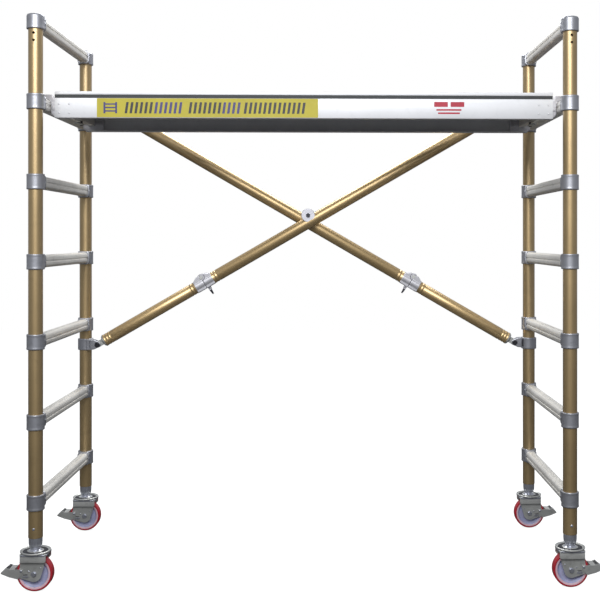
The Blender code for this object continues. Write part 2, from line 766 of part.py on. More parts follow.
def pedal_shape():
    """A folded brake pedal astride the wheel, with a stub pin in each fork leg and a shoe over the tread."""
    side_view = (
        (0.037, 0.080),
        (0.066, PEDAL_TOP),
        (0.093, PEDAL_TOP),
        (0.114, 0.069),
        (0.112, 0.065),
        (0.085, 0.054),
        (0.054, 0.046),
        (0.037, 0.068),
    )
    below = (
        (0.030, 0.020),
        (0.030, PEDAL_TOP + 0.010),
        (SHOE_FACE, PEDAL_TOP + 0.010),
        (SHOE_FACE, PEDAL_TOP - PEDAL_SKIN),
        (0.0915, PEDAL_TOP - PEDAL_SKIN),
        (0.110, 0.067),
        (0.120, 0.020),
    )
    shape = prism("Y", side_view, -PEDAL_OUTER, PEDAL_OUTER)
    shape = cut(shape, prism("Y", below, -PEDAL_INNER, PEDAL_INNER))
    buried = PEDAL_TOP - PEDAL_SKIN / 2
    wedge = [(SHOE_FACE, buried), (SHOE_FACE, SHOE_LOW)]
    wedge += [(SHOE_FACE + 0.0035, SHOE_LOW), (SHOE_FACE + 0.0055, buried)]
    shoe = prism("Y", wedge, -SHOE_HALF_WIDTH, SHOE_HALF_WIDTH)
    pivot_x, pivot_z = PEDAL_PIVOT
    pins = []
    for _, end in ENDS:
        span = sorted((end * (LEG_INNER + GAP), end * (PEDAL_OUTER + 0.002)))
        pins.append(rod("Y", PEDAL_PIN_RADIUS, *span, (pivot_x, 0, pivot_z)))
    return joined(shape, shoe, *pins)


def build_casters():
    stem = stem_shape()
    fork = fork_shape()
    core = wheel_core_shape()
    tyre = tyre_shape()
    pedal = pedal_shape()
    pivot_x, pivot_z = PEDAL_PIVOT
    for side_name, side in SIDES:
        for end_name, end in ENDS:
            tag = f"{side_name}_{end_name}"
            x = side * POST_X
            y = end * POST_Y
            matrix = mirrored_to(side, x, y, 0)
            hub = (x, y, WHEEL_RADIUS)
            place(f"caster_stem_{tag}", stem, ZINC, matrix)
            place(f"caster_fork_{tag}", fork, ZINC, matrix, (x, y, CROWN_HIGH))
            place(f"wheel_core_{tag}", core, CORE, matrix, hub)
            place(f"wheel_tyre_{tag}", tyre, RED, matrix, hub)
            place(f"brake_pedal_{tag}", pedal, ZINC, matrix, (x + side * pivot_x, y, pivot_z))


clear_scene()
build_frames()
build_plank()
build_braces()
build_casters()
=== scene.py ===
import json
import math

import bmesh
import bpy
from mathutils import Matrix, Vector


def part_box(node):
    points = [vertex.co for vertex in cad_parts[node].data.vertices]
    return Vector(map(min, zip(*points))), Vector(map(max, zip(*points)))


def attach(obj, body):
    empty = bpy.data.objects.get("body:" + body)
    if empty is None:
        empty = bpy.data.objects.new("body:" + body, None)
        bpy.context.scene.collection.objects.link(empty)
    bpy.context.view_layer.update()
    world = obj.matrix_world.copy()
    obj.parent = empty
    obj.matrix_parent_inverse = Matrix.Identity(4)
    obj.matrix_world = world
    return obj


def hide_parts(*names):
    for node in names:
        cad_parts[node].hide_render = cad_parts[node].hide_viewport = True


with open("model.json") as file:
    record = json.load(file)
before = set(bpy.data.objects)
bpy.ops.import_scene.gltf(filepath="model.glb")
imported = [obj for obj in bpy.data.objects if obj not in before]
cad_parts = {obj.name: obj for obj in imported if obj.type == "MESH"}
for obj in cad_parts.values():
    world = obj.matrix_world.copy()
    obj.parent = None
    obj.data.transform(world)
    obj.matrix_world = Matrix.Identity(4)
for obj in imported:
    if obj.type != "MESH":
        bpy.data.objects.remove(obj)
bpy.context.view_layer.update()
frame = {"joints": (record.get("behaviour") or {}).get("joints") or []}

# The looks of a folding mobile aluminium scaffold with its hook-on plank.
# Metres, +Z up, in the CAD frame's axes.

SIDES = (("left", -1), ("right", 1))
ENDS = (("near", -1), ("far", 1))
JOINTS = {joint["name"]: joint for joint in frame["joints"]}


def middle(node):
    low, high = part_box(node)
    return (low + high) / 2


def size(node):
    low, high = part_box(node)
    return high - low


# Posts and rungs
POST = middle("right_post_far")
POST_RADIUS = size("right_post_far").x / 2
POST_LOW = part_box("right_post_far")[0].z
POST_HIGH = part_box("right_post_far")[1].z
POST_WALL = 0.002
POST_SIDES = 72
LOCK_HOLE_RADIUS = 0.0048
LOCK_HOLE_DROPS = (0.043, 0.0685)
STEM_HOLE_RADIUS = 0.003
STEM_HOLE_HEIGHT = 0.219
STEM_RIVET_RADIUS = 0.0048
RUNG_COUNT = 6
RUNG_HALF_WIDTH = 0.0195
RUNG_HALF_HEIGHT = 0.0225
RUNG_CORNER = 0.0125
SIDE_GROOVE_HALF_WIDTH = 0.0040
SIDE_GROOVE_DEPTH = 0.0026
TOP_GROOVES = (0.0, 0.0042)
GROOVE_HALF_WIDTH = 0.0009
GROOVE_DEPTH = 0.0009
COLLAR_RADIUS = 0.031
COLLAR_HALF_HEIGHT = size("right_rung_1").z / 2
SOCKET_REACH = 0.045
SOCKET_FLOOR = 0.029
CAST_CELL = 0.0014

# Plank
BEAM_LOW, BEAM_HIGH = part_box("plank_beam_near")
BEAM_FACE = -BEAM_LOW.y
BEAM_WALL = 0.003
WEB_GROOVE_LOW = 0.072
WEB_GROOVE_HIGH = 0.084
WEB_GROOVE_DEPTH = 0.006
GROOVE_SHADE_RECESS = 0.0012
LEDGE_TOP = 0.083
LEDGE_REACH = 0.032
NOSE_REACH = 0.022
FOOT_REACH = 0.030
RIVET_RADIUS = 0.0036
RIVET_RISE = 0.0014
FLANGE_RIVETS = 9
WEB_RIVET_SETBACKS = (0.016, 0.052)
WEB_RIVET_RISES = (0.018, 0.050)
END_BEAM_WALL = 0.0025
LOCK_THICKNESS = 0.005

# Sign and load mark: X in the plank's axes or from the plate's left end, Z from the beam's foot
SIGN_SPAN = (-0.753, 0.047)
SIGN_LOW = 0.0022
PLATE_THICKNESS = 0.0006
PRINT_THICKNESS = 0.0002
PRINT_GAP = 0.00003
SIGN_BORDER = 0.014
STILE_PLACES = (0.024, 0.066)
STILE_WIDTH = 0.007
LADDER_RUNGS = 3
LADDER_PITCH = 0.0125
LADDER_RUNG_HEIGHT = 0.005
BAR_PITCH = 0.0175
BAR_WIDTH = 0.009
BAR_LEAN = 0.006
LOAD_MARK = (
    (0.470, 0.043, 0.050, 0.018),
    (0.530, 0.043, 0.050, 0.018),
    (0.478, 0.029, 0.092, 0.006),
    (0.484, 0.017, 0.080, 0.006),
)

# Braces
CLAMP = middle("upper_clamp_right")
LOWER_CLAMP = middle("lower_clamp_right")
EYE_RADIUS = 0.013
EYE_HALF_WIDTH = 0.0072
CROSSING = (CLAMP.z + LOWER_CLAMP.z) / 2
HALF_RISE = (CLAMP.z - LOWER_CLAMP.z) / 2
HALF_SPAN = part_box("upper_clamp_right")[0].x + EYE_RADIUS
BRACE_LENGTH = math.hypot(HALF_SPAN, HALF_RISE)
BRACE_ANGLE = math.atan2(HALF_RISE, HALF_SPAN)
BRACE_RADIUS = 0.025
BRACE_WALL = 0.002
BRACE_OFFSET = abs(JOINTS["fold_latch_a_pull"]["pos_m"][1] - POST.y)
LATCH_SETBACK = 0.008
LATCH_PIN = JOINTS["fold_latch_b_pull"]["pos_m"]
LATCH_AT = LATCH_PIN[0] * math.cos(BRACE_ANGLE) + (CROSSING - LATCH_PIN[2]) * math.sin(BRACE_ANGLE)
FOLD_AT = LATCH_AT + LATCH_SETBACK
FOLD_RADIUS = 0.0262
FOLD_HALF_DEPTH = 0.0225
FOLD_PIN_HALF_LENGTH = 0.0222
FOLD_PIN_RISE = 0.026
FOLD_EYE_RADIUS = 0.0145
FOLD_BLOCK = 0.041
FOLD_TONGUE = 0.007
FOLD_SPLIT = 0.0007
LATCH_LENGTH = 0.026
LATCH_DROP = 0.0335
LATCH_HALF_WIDTH = 0.006
PIVOT_RISE = middle("brace_pivot_bolt").z - CROSSING
PIVOT_DISC_RADIUS = 0.0285
PIVOT_LUG = 0.050
TUBE_END = 0.036
CRIMP_DEPTH = 0.0013
CRIMP_STEP = 0.0016
END_CRIMPS = (0.008, 0.020, 0.032)
FOLD_CRIMPS = (0.014, 0.026)
CLAMP_RADIUS = 0.0315
CLAMP_HALF_HEIGHT = size("upper_clamp_right").z / 2
CHEEK_HALF_WIDTH = 0.016

# Casters
HUB_HEIGHT = middle("wheel_core_right_near").z
WHEEL_RADIUS = size("wheel_tyre_right_near").x / 2
WHEEL_HALF_WIDTH = size("wheel_tyre_right_near").y / 2
TREAD = 0.0075
CROWN_HIGH = JOINTS["swivel_right_near"]["pos_m"][2]
CROWN_LOW = 0.106
CROWN_HALF_DEPTH = 0.036
LEG_OUTER = 0.0227
LEG_INNER = 0.0192
PLATE_RADIUS = size("caster_stem_right_near").x / 2
PLATE_LOW = CROWN_HIGH + 0.0003
SLEEVE_RADIUS = 0.0235
SLEEVE_NECK = 0.0165
SLEEVE_BELL = 0.1750
TREAD_ROUND = 0.0045
RIM_RADIUS = WHEEL_RADIUS - TREAD
PEDAL_INSET = 0.002
RECESS_SHADE_BARS = 3

# Stage
FLOOR_BOUNCE = 0.08
FLOOR_GLOW = 0.88
ROOM_LIGHT = 0.40
FLOOR_PLACE = ((-9, -6, -0.03), (9, 9, -0.0005))
FLOOR_GREY = (0.30, 0.34)
ROOM_COLOUR = (0.86, 0.89, 0.95, 1)
WHITE = (1, 1, 1, 1)
CAMERA_PLACE = (0.0805, -3.7472, 1.2326)
CAMERA_TURN = -0.0216
CAMERA_LENS = 57.85
CAMERA_SHIFT = (-0.0802, -0.1036)


# Mesh tools ----------------------------------------


def arc(centre, radius, start, end, steps):
    """Points along an arc in degrees, both ends included."""
    points = []
    for i in range(steps + 1):
        angle = math.radians(start + (end - start) * i / steps)
        points.append((centre[0] + radius * math.cos(angle), centre[1] + radius * math.sin(angle)))
    return points


def rounded(points, radius, steps=4):
    """The outline with every corner turned into an arc, as far as its neighbours leave room."""
    made = []
    for i, point in enumerate(points):
        here = Vector(point)
        before = Vector(points[i - 1]) - here
        after = Vector(points[(i + 1) % len(points)]) - here
        half = before.angle(after) / 2
        reach = min(radius / math.tan(half), 0.45 * before.length, 0.45 * after.length)
        if half > math.radians(85) or reach <= 0:
            made.append(tuple(here))
            continue
        start = here + before.normalized() * reach
        end = here + after.normalized() * reach
        centre = here + (before.normalized() + after.normalized()).normalized() * (reach / math.cos(half))
        for step in range(steps + 1):
            spoke = start.lerp(end, step / steps) - centre
            made.append(tuple(centre + spoke.normalized() * (start - centre).length))
    return made


def finished_mesh(bm):
    bmesh.ops.recalc_face_normals(bm, faces=bm.faces)
    mesh = bpy.data.meshes.new("shape")
    bm.to_mesh(mesh)
    bm.free()
    return mesh


def prism(axis, outline, low, high):
    """An outline in the other two axes, extruded from low to high along X, Y or Z."""
    bm = bmesh.new()
    rings = []
    for place in (low, high):
        ring = []
        for a, b in outline:
            corner = {"X": (place, a, b), "Y": (a, place, b), "Z": (a, b, place)}[axis]
            ring.append(bm.verts.new(corner))
        rings.append(ring)
    bm.faces.new(rings[0])
    bm.faces.new(reversed(rings[1]))
    for i in range(len(outline)):
        j = (i + 1) % len(outline)
        bm.faces.new((rings[0][i], rings[0][j], rings[1][j], rings[1][i]))
    return finished_mesh(bm)


def block(low, high):
    outline = ((low[1], low[2]), (high[1], low[2]), (high[1], high[2]), (low[1], high[2]))
    return prism("X", outline, low[0], high[0])


def turned(axis, profile, sides=48, centre=(0.0, 0.0, 0.0), closed=True):
    """A profile of (radius, height) turned about X, Y or Z. An open profile starts and ends on the axis."""
    bm = bmesh.new()
    turn = 2 * math.pi / sides
    rings = []
    for radius, height in profile:
        ring = []
        for i in range(1 if radius == 0 else sides):
            a = radius * math.sin(i * turn)
            b = -radius * math.cos(i * turn)
            corner = {"X": (height, a, b), "Y": (a, height, b), "Z": (a, b, height)}[axis]
            ring.append(bm.verts.new(Vector(corner) + Vector(centre)))
        rings.append(ring)
    pairs = list(zip(rings, rings[1:]))
    if closed:
        pairs.append((rings[-1], rings[0]))
    for first, second in pairs:
        for i in range(sides):
            j = (i + 1) % sides
            path = ((first, i), (first, j), (second, j), (second, i))
            corners = [ring[place % len(ring)] for ring, place in path]
            bm.faces.new(list(dict.fromkeys(corners)))
    return finished_mesh(bm)


def rod(axis, radius, low, high, centre=(0.0, 0.0, 0.0), sides=48, ease=0.0):
    """A round bar, with its two rims eased off."""
    rims = [(radius - ease, low), (radius, low + ease), (radius, high - ease), (radius - ease, high)]
    if not ease:
        rims = [(radius, low), (radius, high)]
    return turned(axis, [(0, low), *rims, (0, high)], sides, centre, closed=False)


def dome(axis, radius, rise, base, facing, centre=(0.0, 0.0, 0.0), sides=20):
    """A rivet head standing on its base, bulging the way it faces."""
    profile = [(0, base - facing * 0.0005), (radius, base - facing * 0.0005)]
    for i in range(5):
        angle = math.radians(90 * i / 5)
        profile.append((radius * math.cos(angle), base + facing * rise * math.sin(angle)))
    profile.append((0, base + facing * rise))
    return turned(axis, profile, sides, centre, closed=False)


def together(*meshes):
    """The meshes side by side in one, not merged."""
    bm = bmesh.new()
    for mesh in meshes:
        bm.from_mesh(mesh)
    made = bpy.data.meshes.new("shape")
    bm.to_mesh(made)
    bm.free()
    return made


def moved(mesh, matrix):
    made = mesh.copy()
    made.transform(matrix)
    if matrix.determinant() < 0:
        made.flip_normals()
    return made


def evaluated(thing):
    """The mesh of a scratch object with its modifiers applied, and the object taken away."""
    graph = bpy.context.evaluated_depsgraph_get()
    made = bpy.data.meshes.new_from_object(thing.evaluated_get(graph), depsgraph=graph)
    bpy.data.objects.remove(thing, do_unlink=True)
    return made


def scratch_object(mesh):
    thing = bpy.data.objects.new("scratch", mesh)
    bpy.context.scene.collection.objects.link(thing)
    return thing


def combined(operation, base, tools):
    thing = scratch_object(base)
    cutters = [scratch_object(tool) for tool in tools]
    for cutter in cutters:
        step = thing.modifiers.new("step", "BOOLEAN")
        step.operation = operation
        step.solver = "EXACT"
        step.object = cutter
    made = evaluated(thing)
    for cutter in cutters:
        bpy.data.objects.remove(cutter, do_unlink=True)
    return made


def cut(base, *tools):
    return combined("DIFFERENCE", base, tools)


def joined(base, *tools):
    return combined("UNION", base, tools)


def cast(*meshes, cell=CAST_CELL, passes=5, keep=0.45):
    """One casting from overlapping solids, with soft fillets where they meet."""
    thing = scratch_object(together(*meshes))
    remesh = thing.modifiers.new("skin", "REMESH")
    remesh.mode = "VOXEL"
    remesh.voxel_size = cell
    soften = thing.modifiers.new("soften", "SMOOTH")
    soften.factor = 0.5
    soften.iterations = passes
    thin = thing.modifiers.new("thin", "DECIMATE")
    thin.ratio = keep
    return evaluated(thing)


def piece(name, mesh, look, body, matrix=None, bevel=0.0, stands_for=None, own_axes=False):
    """One visible piece, riding on its body. With own_axes its surface pattern follows the matrix."""
    shape = mesh.copy()
    shape.name = name
    if matrix and not own_axes:
        shape = moved(mesh, matrix)
    finish, slot = look
    shape.materials.clear()
    shape.materials.append(finish)
    shape.shade_smooth()
    if not bevel:
        shape.set_sharp_from_angle(angle=math.radians(32))
    thing = bpy.data.objects.new(name, shape)
    bpy.context.scene.collection.objects.link(thing)
    if own_axes:
        thing.matrix_world = matrix
    if bevel:
        edge = thing.modifiers.new("edge", "BEVEL")
        edge.width = bevel
        edge.segments = 3
        edge.limit_method = "ANGLE"
        edge.angle_limit = math.radians(30)
        edge.harden_normals = True
    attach(thing, body)
    if stands_for:
        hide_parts(stands_for)
    return thing


# Materials ----------------------------------------


# A node's output or input is given as a pair of the node and the socket's name or number.


def linked(tree, *path):
    """Links outputs to inputs, given in turn."""
    for start, end in zip(path[::2], path[1::2]):
        tree.links.new(start[0].outputs[start[1]], end[0].inputs[end[1]])


def made_node(tree, kind, **settings):
    node = tree.nodes.new(kind)
    for name, value in settings.items():
        setattr(node, name, value)
    return node


def set_inputs(node, values):
    for name, value in values.items():
        node.inputs[name].default_value = value


def noise(tree, coordinates, stretch, scale, detail, distortion=0.0):
    """A noise texture in the piece's own axes, stretched along the axes with small numbers."""
    mapping = made_node(tree, "ShaderNodeMapping")
    set_inputs(mapping, {"Scale": stretch})
    texture = made_node(tree, "ShaderNodeTexNoise")
    set_inputs(texture, {"Scale": scale, "Detail": detail, "Distortion": distortion})
    linked(tree, (coordinates, "Object"), (mapping, "Vector"), (mapping, "Vector"), (texture, "Vector"))
    return texture, "Fac"


def ranged(tree, source, low, high, from_low=0.3, from_high=0.7):
    node = made_node(tree, "ShaderNodeMapRange")
    set_inputs(node, {"From Min": from_low, "From Max": from_high, "To Min": low, "To Max": high})
    linked(tree, source, (node, "Value"))
    return node, "Result"


def blended(tree, factor, first, second):
    """A colour mix: each of the two is a colour or an output."""
    mix = made_node(tree, "ShaderNodeMix", data_type="RGBA")
    linked(tree, factor, (mix, "Factor"))
    for socket, value in ((6, first), (7, second)):
        if isinstance(value[0], bpy.types.Node):
            linked(tree, value, (mix, socket))
        else:
            mix.inputs[socket].default_value = (*value, 1.0)
    return mix, 2


def mottled(tree, coordinates, scale, detail, first, second):
    """A colour that drifts between two, in patches."""
    return blended(tree, ranged(tree, noise(tree, coordinates, EVEN, scale, detail), 0, 1), first, second)


def shade(colour, amount):
    return tuple(min(1.0, channel * amount) for channel in colour)


def new_material(name):
    made = bpy.data.materials.new(name)
    made.use_nodes = True
    tree = made.node_tree
    return made, tree, tree.nodes["Principled BSDF"], tree.nodes.new("ShaderNodeTexCoord")


def bumped(tree, shader, *layers):
    """Stacks bump layers, given as (height, distance, strength), onto the shader's normal."""
    last = None
    for height, distance, strength in layers:
        bump = made_node(tree, "ShaderNodeBump")
        set_inputs(bump, {"Distance": distance, "Strength": strength})
        linked(tree, height, (bump, "Height"))
        if last:
            linked(tree, (last, "Normal"), (bump, "Normal"))
        last = bump
    linked(tree, (last, "Normal"), (shader, "Normal"))


def metal(
    name, colour, roughness, metallic, stretch, grain_scale, grain_depth, grime=0.25, spread=0.08, film=0.0
):
    """A metal with its working marks, slow colour drift, darker handled patches, and a clear film if any."""
    made, tree, shader, coordinates = new_material(name)
    set_inputs(shader, {"Metallic": metallic, "Coat Weight": film, "Coat Roughness": roughness * 0.75})
    grain = noise(tree, coordinates, stretch, grain_scale, 5)
    patches = noise(tree, coordinates, EVEN, 38, 3, 0.4)
    base = mottled(tree, coordinates, 7, 3, shade(colour, 1 - spread), shade(colour, 1 + spread))
    worn = ranged(tree, patches, 0, grime, 0.56, 0.74)
    linked(tree, blended(tree, worn, base, shade(colour, 0.45)), (shader, "Base Color"))
    linked(tree, ranged(tree, grain, roughness - 0.04, roughness + 0.05), (shader, "Roughness"))
    bumped(tree, shader, (grain, grain_depth, 0.6), (patches, grain_depth * 0.6, 0.3))
    return made


def rubber(name, colour, roughness, weight):
    """Cast polyurethane: a slightly soft, faintly mottled plastic."""
    made, tree, shader, coordinates = new_material(name)
    specks = noise(tree, coordinates, EVEN, 420, 3)
    base = mottled(tree, coordinates, 45, 4, shade(colour, 0.86), shade(colour, 1.1))
    dusty = ranged(tree, specks, 0, 0.22, 0.58, 0.72)
    linked(tree, blended(tree, dusty, base, DUST), (shader, "Base Color"))
    linked(tree, ranged(tree, specks, roughness - 0.05, roughness + 0.12), (shader, "Roughness"))
    set_inputs(shader, {"Subsurface Weight": weight, "Subsurface Scale": 0.35})
    set_inputs(shader, {"Subsurface Radius": (0.012, 0.004, 0.004)})
    bumped(tree, shader, (specks, 0.0002, 0.5))
    return made


def vinyl(name, colour, roughness):
    """Printed film: even colour with a faint orange-peel and slight fading."""
    made, tree, shader, coordinates = new_material(name)
    peel = noise(tree, coordinates, EVEN, 260, 2)
    base = mottled(tree, coordinates, 14, 3, shade(colour, 0.93), shade(colour, 1.06))
    linked(tree, base, (shader, "Base Color"))
    linked(tree, ranged(tree, peel, roughness - 0.04, roughness + 0.08), (shader, "Roughness"))
    bumped(tree, shader, (peel, 0.0001, 0.4))
    return made


def pressed_mesh(tree, coordinates):
    """The height of a wire mesh pressed in: the higher of two crossing waves."""
    highest = made_node(tree, "ShaderNodeMath", operation="MAXIMUM")
    for socket, direction in enumerate((1, -1)):
        turned_axes = made_node(tree, "ShaderNodeMapping")
        set_inputs(turned_axes, {"Rotation": (0, 0, direction * math.radians(35))})
        wave = made_node(tree, "ShaderNodeTexWave", bands_direction="X")
        set_inputs(wave, {"Scale": 62})
        linked(tree, (coordinates, "Object"), (turned_axes, "Vector"))
        linked(tree, (turned_axes, "Vector"), (wave, "Vector"), (wave, "Fac"), (highest, socket))
    return highest, "Value"


def plywood(name):
    """Film-faced plywood: a dark face pressed with a wire-mesh pattern, and pale plies on its cut edges."""
    made, tree, shader, coordinates = new_material(name)
    figure = noise(tree, coordinates, (0.6, 9, 1), 7, 6, 0.6)
    scuffs = noise(tree, coordinates, (0.5, 2.0, 1), 34, 8, 0.8)
    face = blended(tree, ranged(tree, figure, 0, 1), *FACE_FILM)
    worn = blended(tree, ranged(tree, scuffs, 0, 0.45, 0.60, 0.78), face, SCUFFED_FILM)
    plies = made_node(tree, "ShaderNodeTexWave", bands_direction="Z")
    set_inputs(plies, {"Scale": 105, "Distortion": 0.6})
    linked(tree, (coordinates, "Object"), (plies, "Vector"))
    edge_wood = blended(tree, (plies, "Fac"), *EDGE_WOOD)
    geometry = made_node(tree, "ShaderNodeNewGeometry")
    facing = made_node(tree, "ShaderNodeSeparateXYZ")
    upright = made_node(tree, "ShaderNodeMath", operation="ABSOLUTE")
    linked(tree, (geometry, "True Normal"), (facing, "Vector"), (facing, "Z"), (upright, 0))
    on_face = ranged(tree, (upright, "Value"), 0, 1, 0.45, 0.55)
    linked(tree, blended(tree, on_face, edge_wood, worn), (shader, "Base Color"))
    linked(tree, ranged(tree, scuffs, 0.42, 0.68), (shader, "Roughness"))
    bumped(tree, shader, (pressed_mesh(tree, coordinates), 0.0005, 0.7), (scuffs, 0.0003, 0.3))
    return made


ALONG_X = (0.5, 40, 40)
ALONG_Y = (40, 0.5, 40)
ALONG_Z = (40, 40, 0.5)
EVEN = (1, 1, 1)
DUST = (0.30, 0.27, 0.25)
FACE_FILM = ((0.044, 0.023, 0.013), (0.086, 0.047, 0.026))
SCUFFED_FILM = (0.24, 0.17, 0.12)
EDGE_WOOD = ((0.46, 0.30, 0.16), (0.20, 0.11, 0.055))
ANODISED = (12, 0.00001, 0.15, 0.06, 1.0)
CAST_SKIN = (EVEN, 150, 0.0001)
GOLD_COLOUR = (0.50, 0.36, 0.175)
# The braces wear the posts' gold made lighter: painted light on the braces.
BRACE_LIT_COLOUR = shade(GOLD_COLOUR, 1.42)
POST_GOLD = (metal("gold_anodised_post", GOLD_COLOUR, 0.42, 0.80, ALONG_Z, *ANODISED), "gold_anodised")
BRACE_LIT_GOLD = (metal("gold_anodised_brace_lit", BRACE_LIT_COLOUR, 0.42, 0.80, ALONG_X, *ANODISED), "gold_anodised")
CAST = (metal("cast_aluminium", (0.44, 0.45, 0.49), 0.42, 0.80, *CAST_SKIN, 0.30), "cast_aluminium")
PALE_CAST = (metal("pale_casting", (0.62, 0.62, 0.66), 0.44, 0.60, *CAST_SKIN), "cast_aluminium")
DISC = (metal("pivot_disc", (0.66, 0.66, 0.72), 0.38, 0.70, *CAST_SKIN), "bright_aluminium")
DARK = (metal("dark_steel", (0.055, 0.055, 0.065), 0.38, 0.80, *CAST_SKIN), "dark_steel")
MILL = (metal("rung_aluminium", (0.88, 0.86, 0.81), 0.42, 0.30, ALONG_Y, 14, 0.00005), "mill_aluminium")
BEAM_SKIN = (ALONG_X, 16, 0.00004, 0.08, 0.03)
BRIGHT = (metal("beam_aluminium", (0.70, 0.71, 0.735), 0.46, 0.30, *BEAM_SKIN), "bright_aluminium")
ZINC = (metal("zinc_plate", (0.62, 0.63, 0.61), 0.42, 0.70, EVEN, 60, 0.0002, 0.40, 0.14), "zinc_steel")
SLEEVE = (metal("zinc_sleeve", (0.60, 0.62, 0.69), 0.30, 0.85, ALONG_Z, 12, 0.00003), "zinc_steel")
RED = (rubber("red_polyurethane", (0.46, 0.016, 0.030), 0.33, 0.15), "red_polyurethane")
RING = (rubber("polyurethane_edge", (0.78, 0.54, 0.62), 0.36, 0.2), "red_polyurethane")
CORE = (rubber("wheel_core", (0.42, 0.43, 0.63), 0.30, 0.1), "wheel_core")
PLYWOOD = (plywood("phenolic_plywood"), "phenolic_plywood")
YELLOW = (vinyl("yellow_film", (0.52, 0.45, 0.030), 0.48), "sign_film")
NAVY = (vinyl("navy_print", (0.040, 0.035, 0.17), 0.40), "sign_film")
BLACK = (vinyl("black_print", (0.014, 0.014, 0.018), 0.40), "sign_film")
RED_PRINT = (vinyl("red_print", (0.48, 0.012, 0.040), 0.42), "sign_film")
# A dark sheet for the beam's groove: painted shade, standing in for the groove's shadow.
GROOVE_SHADE = (vinyl("groove_painted_shade", (0.045, 0.049, 0.052), 0.60), "black_plastic")


# Frames ----------------------------------------


def turned_half(end):
    """Turns a shape that is drawn for the far end to the near one."""
    return Matrix.Rotation(0 if end > 0 else math.pi, 4, "Z")


def post_mesh(end):
    inner = POST_RADIUS - POST_WALL
    ease = 0.0006
    profile = (
        (POST_RADIUS, POST_LOW + ease), (POST_RADIUS, POST_HIGH), (inner, POST_HIGH),
        (inner, POST_LOW), (POST_RADIUS - ease, POST_LOW),
    )
    tube = turned("Z", profile, POST_SIDES)
    rail = middle("right_top_rail").z
    span = sorted((0.010 * end, 0.030 * end))
    holes = [rod("Y", LOCK_HOLE_RADIUS, *span, (0, 0, rail - drop), 24) for drop in LOCK_HOLE_DROPS]
    holes.append(rod("Y", STEM_HOLE_RADIUS, *span, (0, 0, STEM_HOLE_HEIGHT), 20))
    return cut(tube, *holes)


def grooved(points, centre, across, inwards, w=GROOVE_HALF_WIDTH, d=GROOVE_DEPTH):
    """Adds a groove to an outline that runs along one of its flat sides."""
    (cx, cz), (ax, az), (ix, iz) = centre, across, inwards
    points.append((cx - ax * w, cz - az * w))
    points.append((cx - ax * w * 0.7 + ix * d, cz - az * w * 0.7 + iz * d))
    points.append((cx + ax * w * 0.7 + ix * d, cz + az * w * 0.7 + iz * d))
    points.append((cx + ax * w, cz + az * w))


def rung_outline(grow=0.0, plain=False):
    """The rung's section in X and Z, with grip grooves on top and a wide groove down each side."""
    w, h, r = RUNG_HALF_WIDTH + grow, RUNG_HALF_HEIGHT + grow, RUNG_CORNER
    right = arc((w - r, r - h), r, -90, 0, 6)
    if not plain:
        grooved(right, (w, 0), (0, 1), (-1, 0), SIDE_GROOVE_HALF_WIDTH, SIDE_GROOVE_DEPTH)
    right += arc((w - r, h - r), r, 0, 90, 6)
    for x in () if plain else reversed(TOP_GROOVES[1:]):
        grooved(right, (x, h), (-1, 0), (0, -1))
    left = [(-x, z) for x, z in reversed(right)]
    if plain:
        return right + left
    notch = []
    grooved(notch, (TOP_GROOVES[0], h), (-1, 0), (0, -1))
    return right + notch + left


def collar_mesh(capped):
    """The far end's collar: a beaded band round the post, and an oblong socket that takes the rung."""
    r, h = COLLAR_RADIUS, COLLAR_HALF_HEIGHT
    y = POST.y
    lower = [(0, -h), (r - 0.0012, -h), (r, 0.001 - h), (r, 0.0050 - h), (r - 0.0005, 0.009 - h)]
    if capped:
        upper = [(r - 0.0005, h - 0.020), (r - 0.0004, h - 0.008), (r - 0.003, h - 0.003)]
        upper += [(r - 0.009, h - 0.0008), (0, h)]
    else:
        upper = [(radius, -height) for radius, height in reversed(lower)]
    band = turned("Z", lower + upper, 64, (0, y, 0), closed=False)
    socket = prism("Y", rung_outline(0.0034, plain=True), y - SOCKET_REACH, y - 0.012)
    lip = prism("Y", rung_outline(0.0046, plain=True), y - SOCKET_REACH, y - SOCKET_REACH + 0.004)
    ribs = []
    for side in (-1, 1):
        span = sorted((side * 0.012, side * (RUNG_HALF_WIDTH + 0.005)))
        ribs.append(rod("X", 0.0052, *span, (0, y - 0.0355, 0), 24))
    shape = cast(band, socket, lip, *ribs)
    post_bore = rod("Z", POST_RADIUS + 0.0002, -0.1, (h - 0.007) if capped else 0.1, (0, y, 0), 72)
    rung_bore = prism("Y", rung_outline(0.0002, plain=True), y - 0.060, y - SOCKET_FLOOR)
    return cut(shape, post_bore, rung_bore)


def socket_rivets():
    """A rivet head on each side of the far socket."""
    heads = []
    for side in (-1, 1):
        face = side * (RUNG_HALF_WIDTH + 0.0046)
        heads.append(dome("X", RIVET_RADIUS, 0.0016, face, side, (0, POST.y - 0.0355, 0)))
    return together(*heads)


def build_frames():
    posts = {end: post_mesh(end) for _, end in ENDS}
    bar_end = POST.y - SOCKET_FLOOR - 0.0005
    bar = prism("Y", rung_outline(), -bar_end, bar_end)
    rivets = together(*(moved(socket_rivets(), turned_half(end)) for _, end in ENDS))
    collars = {capped: collar_mesh(capped) for capped in (False, True)}
    for side_name, side in SIDES:
        for end_name, end in ENDS:
            place = Matrix.Translation((side * POST.x, end * POST.y, 0))
            name = f"{side_name}_post_{end_name}"
            piece(f"{name}_tube", posts[end], POST_GOLD, "frames", place, stands_for=name)
            rivet = dome("Y", STEM_RIVET_RADIUS, 0.0016, end * POST_RADIUS, end, (0, 0, STEM_HOLE_HEIGHT))
            piece(f"{name}_stem_rivet", rivet, SLEEVE, "frames", place)
        rungs = [f"{side_name}_rung_{level + 1}" for level in range(RUNG_COUNT)] + [f"{side_name}_top_rail"]
        for node in rungs:
            place = Matrix.Translation((side * POST.x, 0, middle(node).z))
            piece(f"{node}_bar", bar, MILL, "frames", place, stands_for=node)
            piece(f"{node}_rivets", rivets, SLEEVE, "frames", place)
            for end_name, end in ENDS:
                collar = collars[node.endswith("rail")]
                piece(f"{node}_collar_{end_name}", collar, CAST, "frames", place @ turned_half(end))


# Plank ----------------------------------------


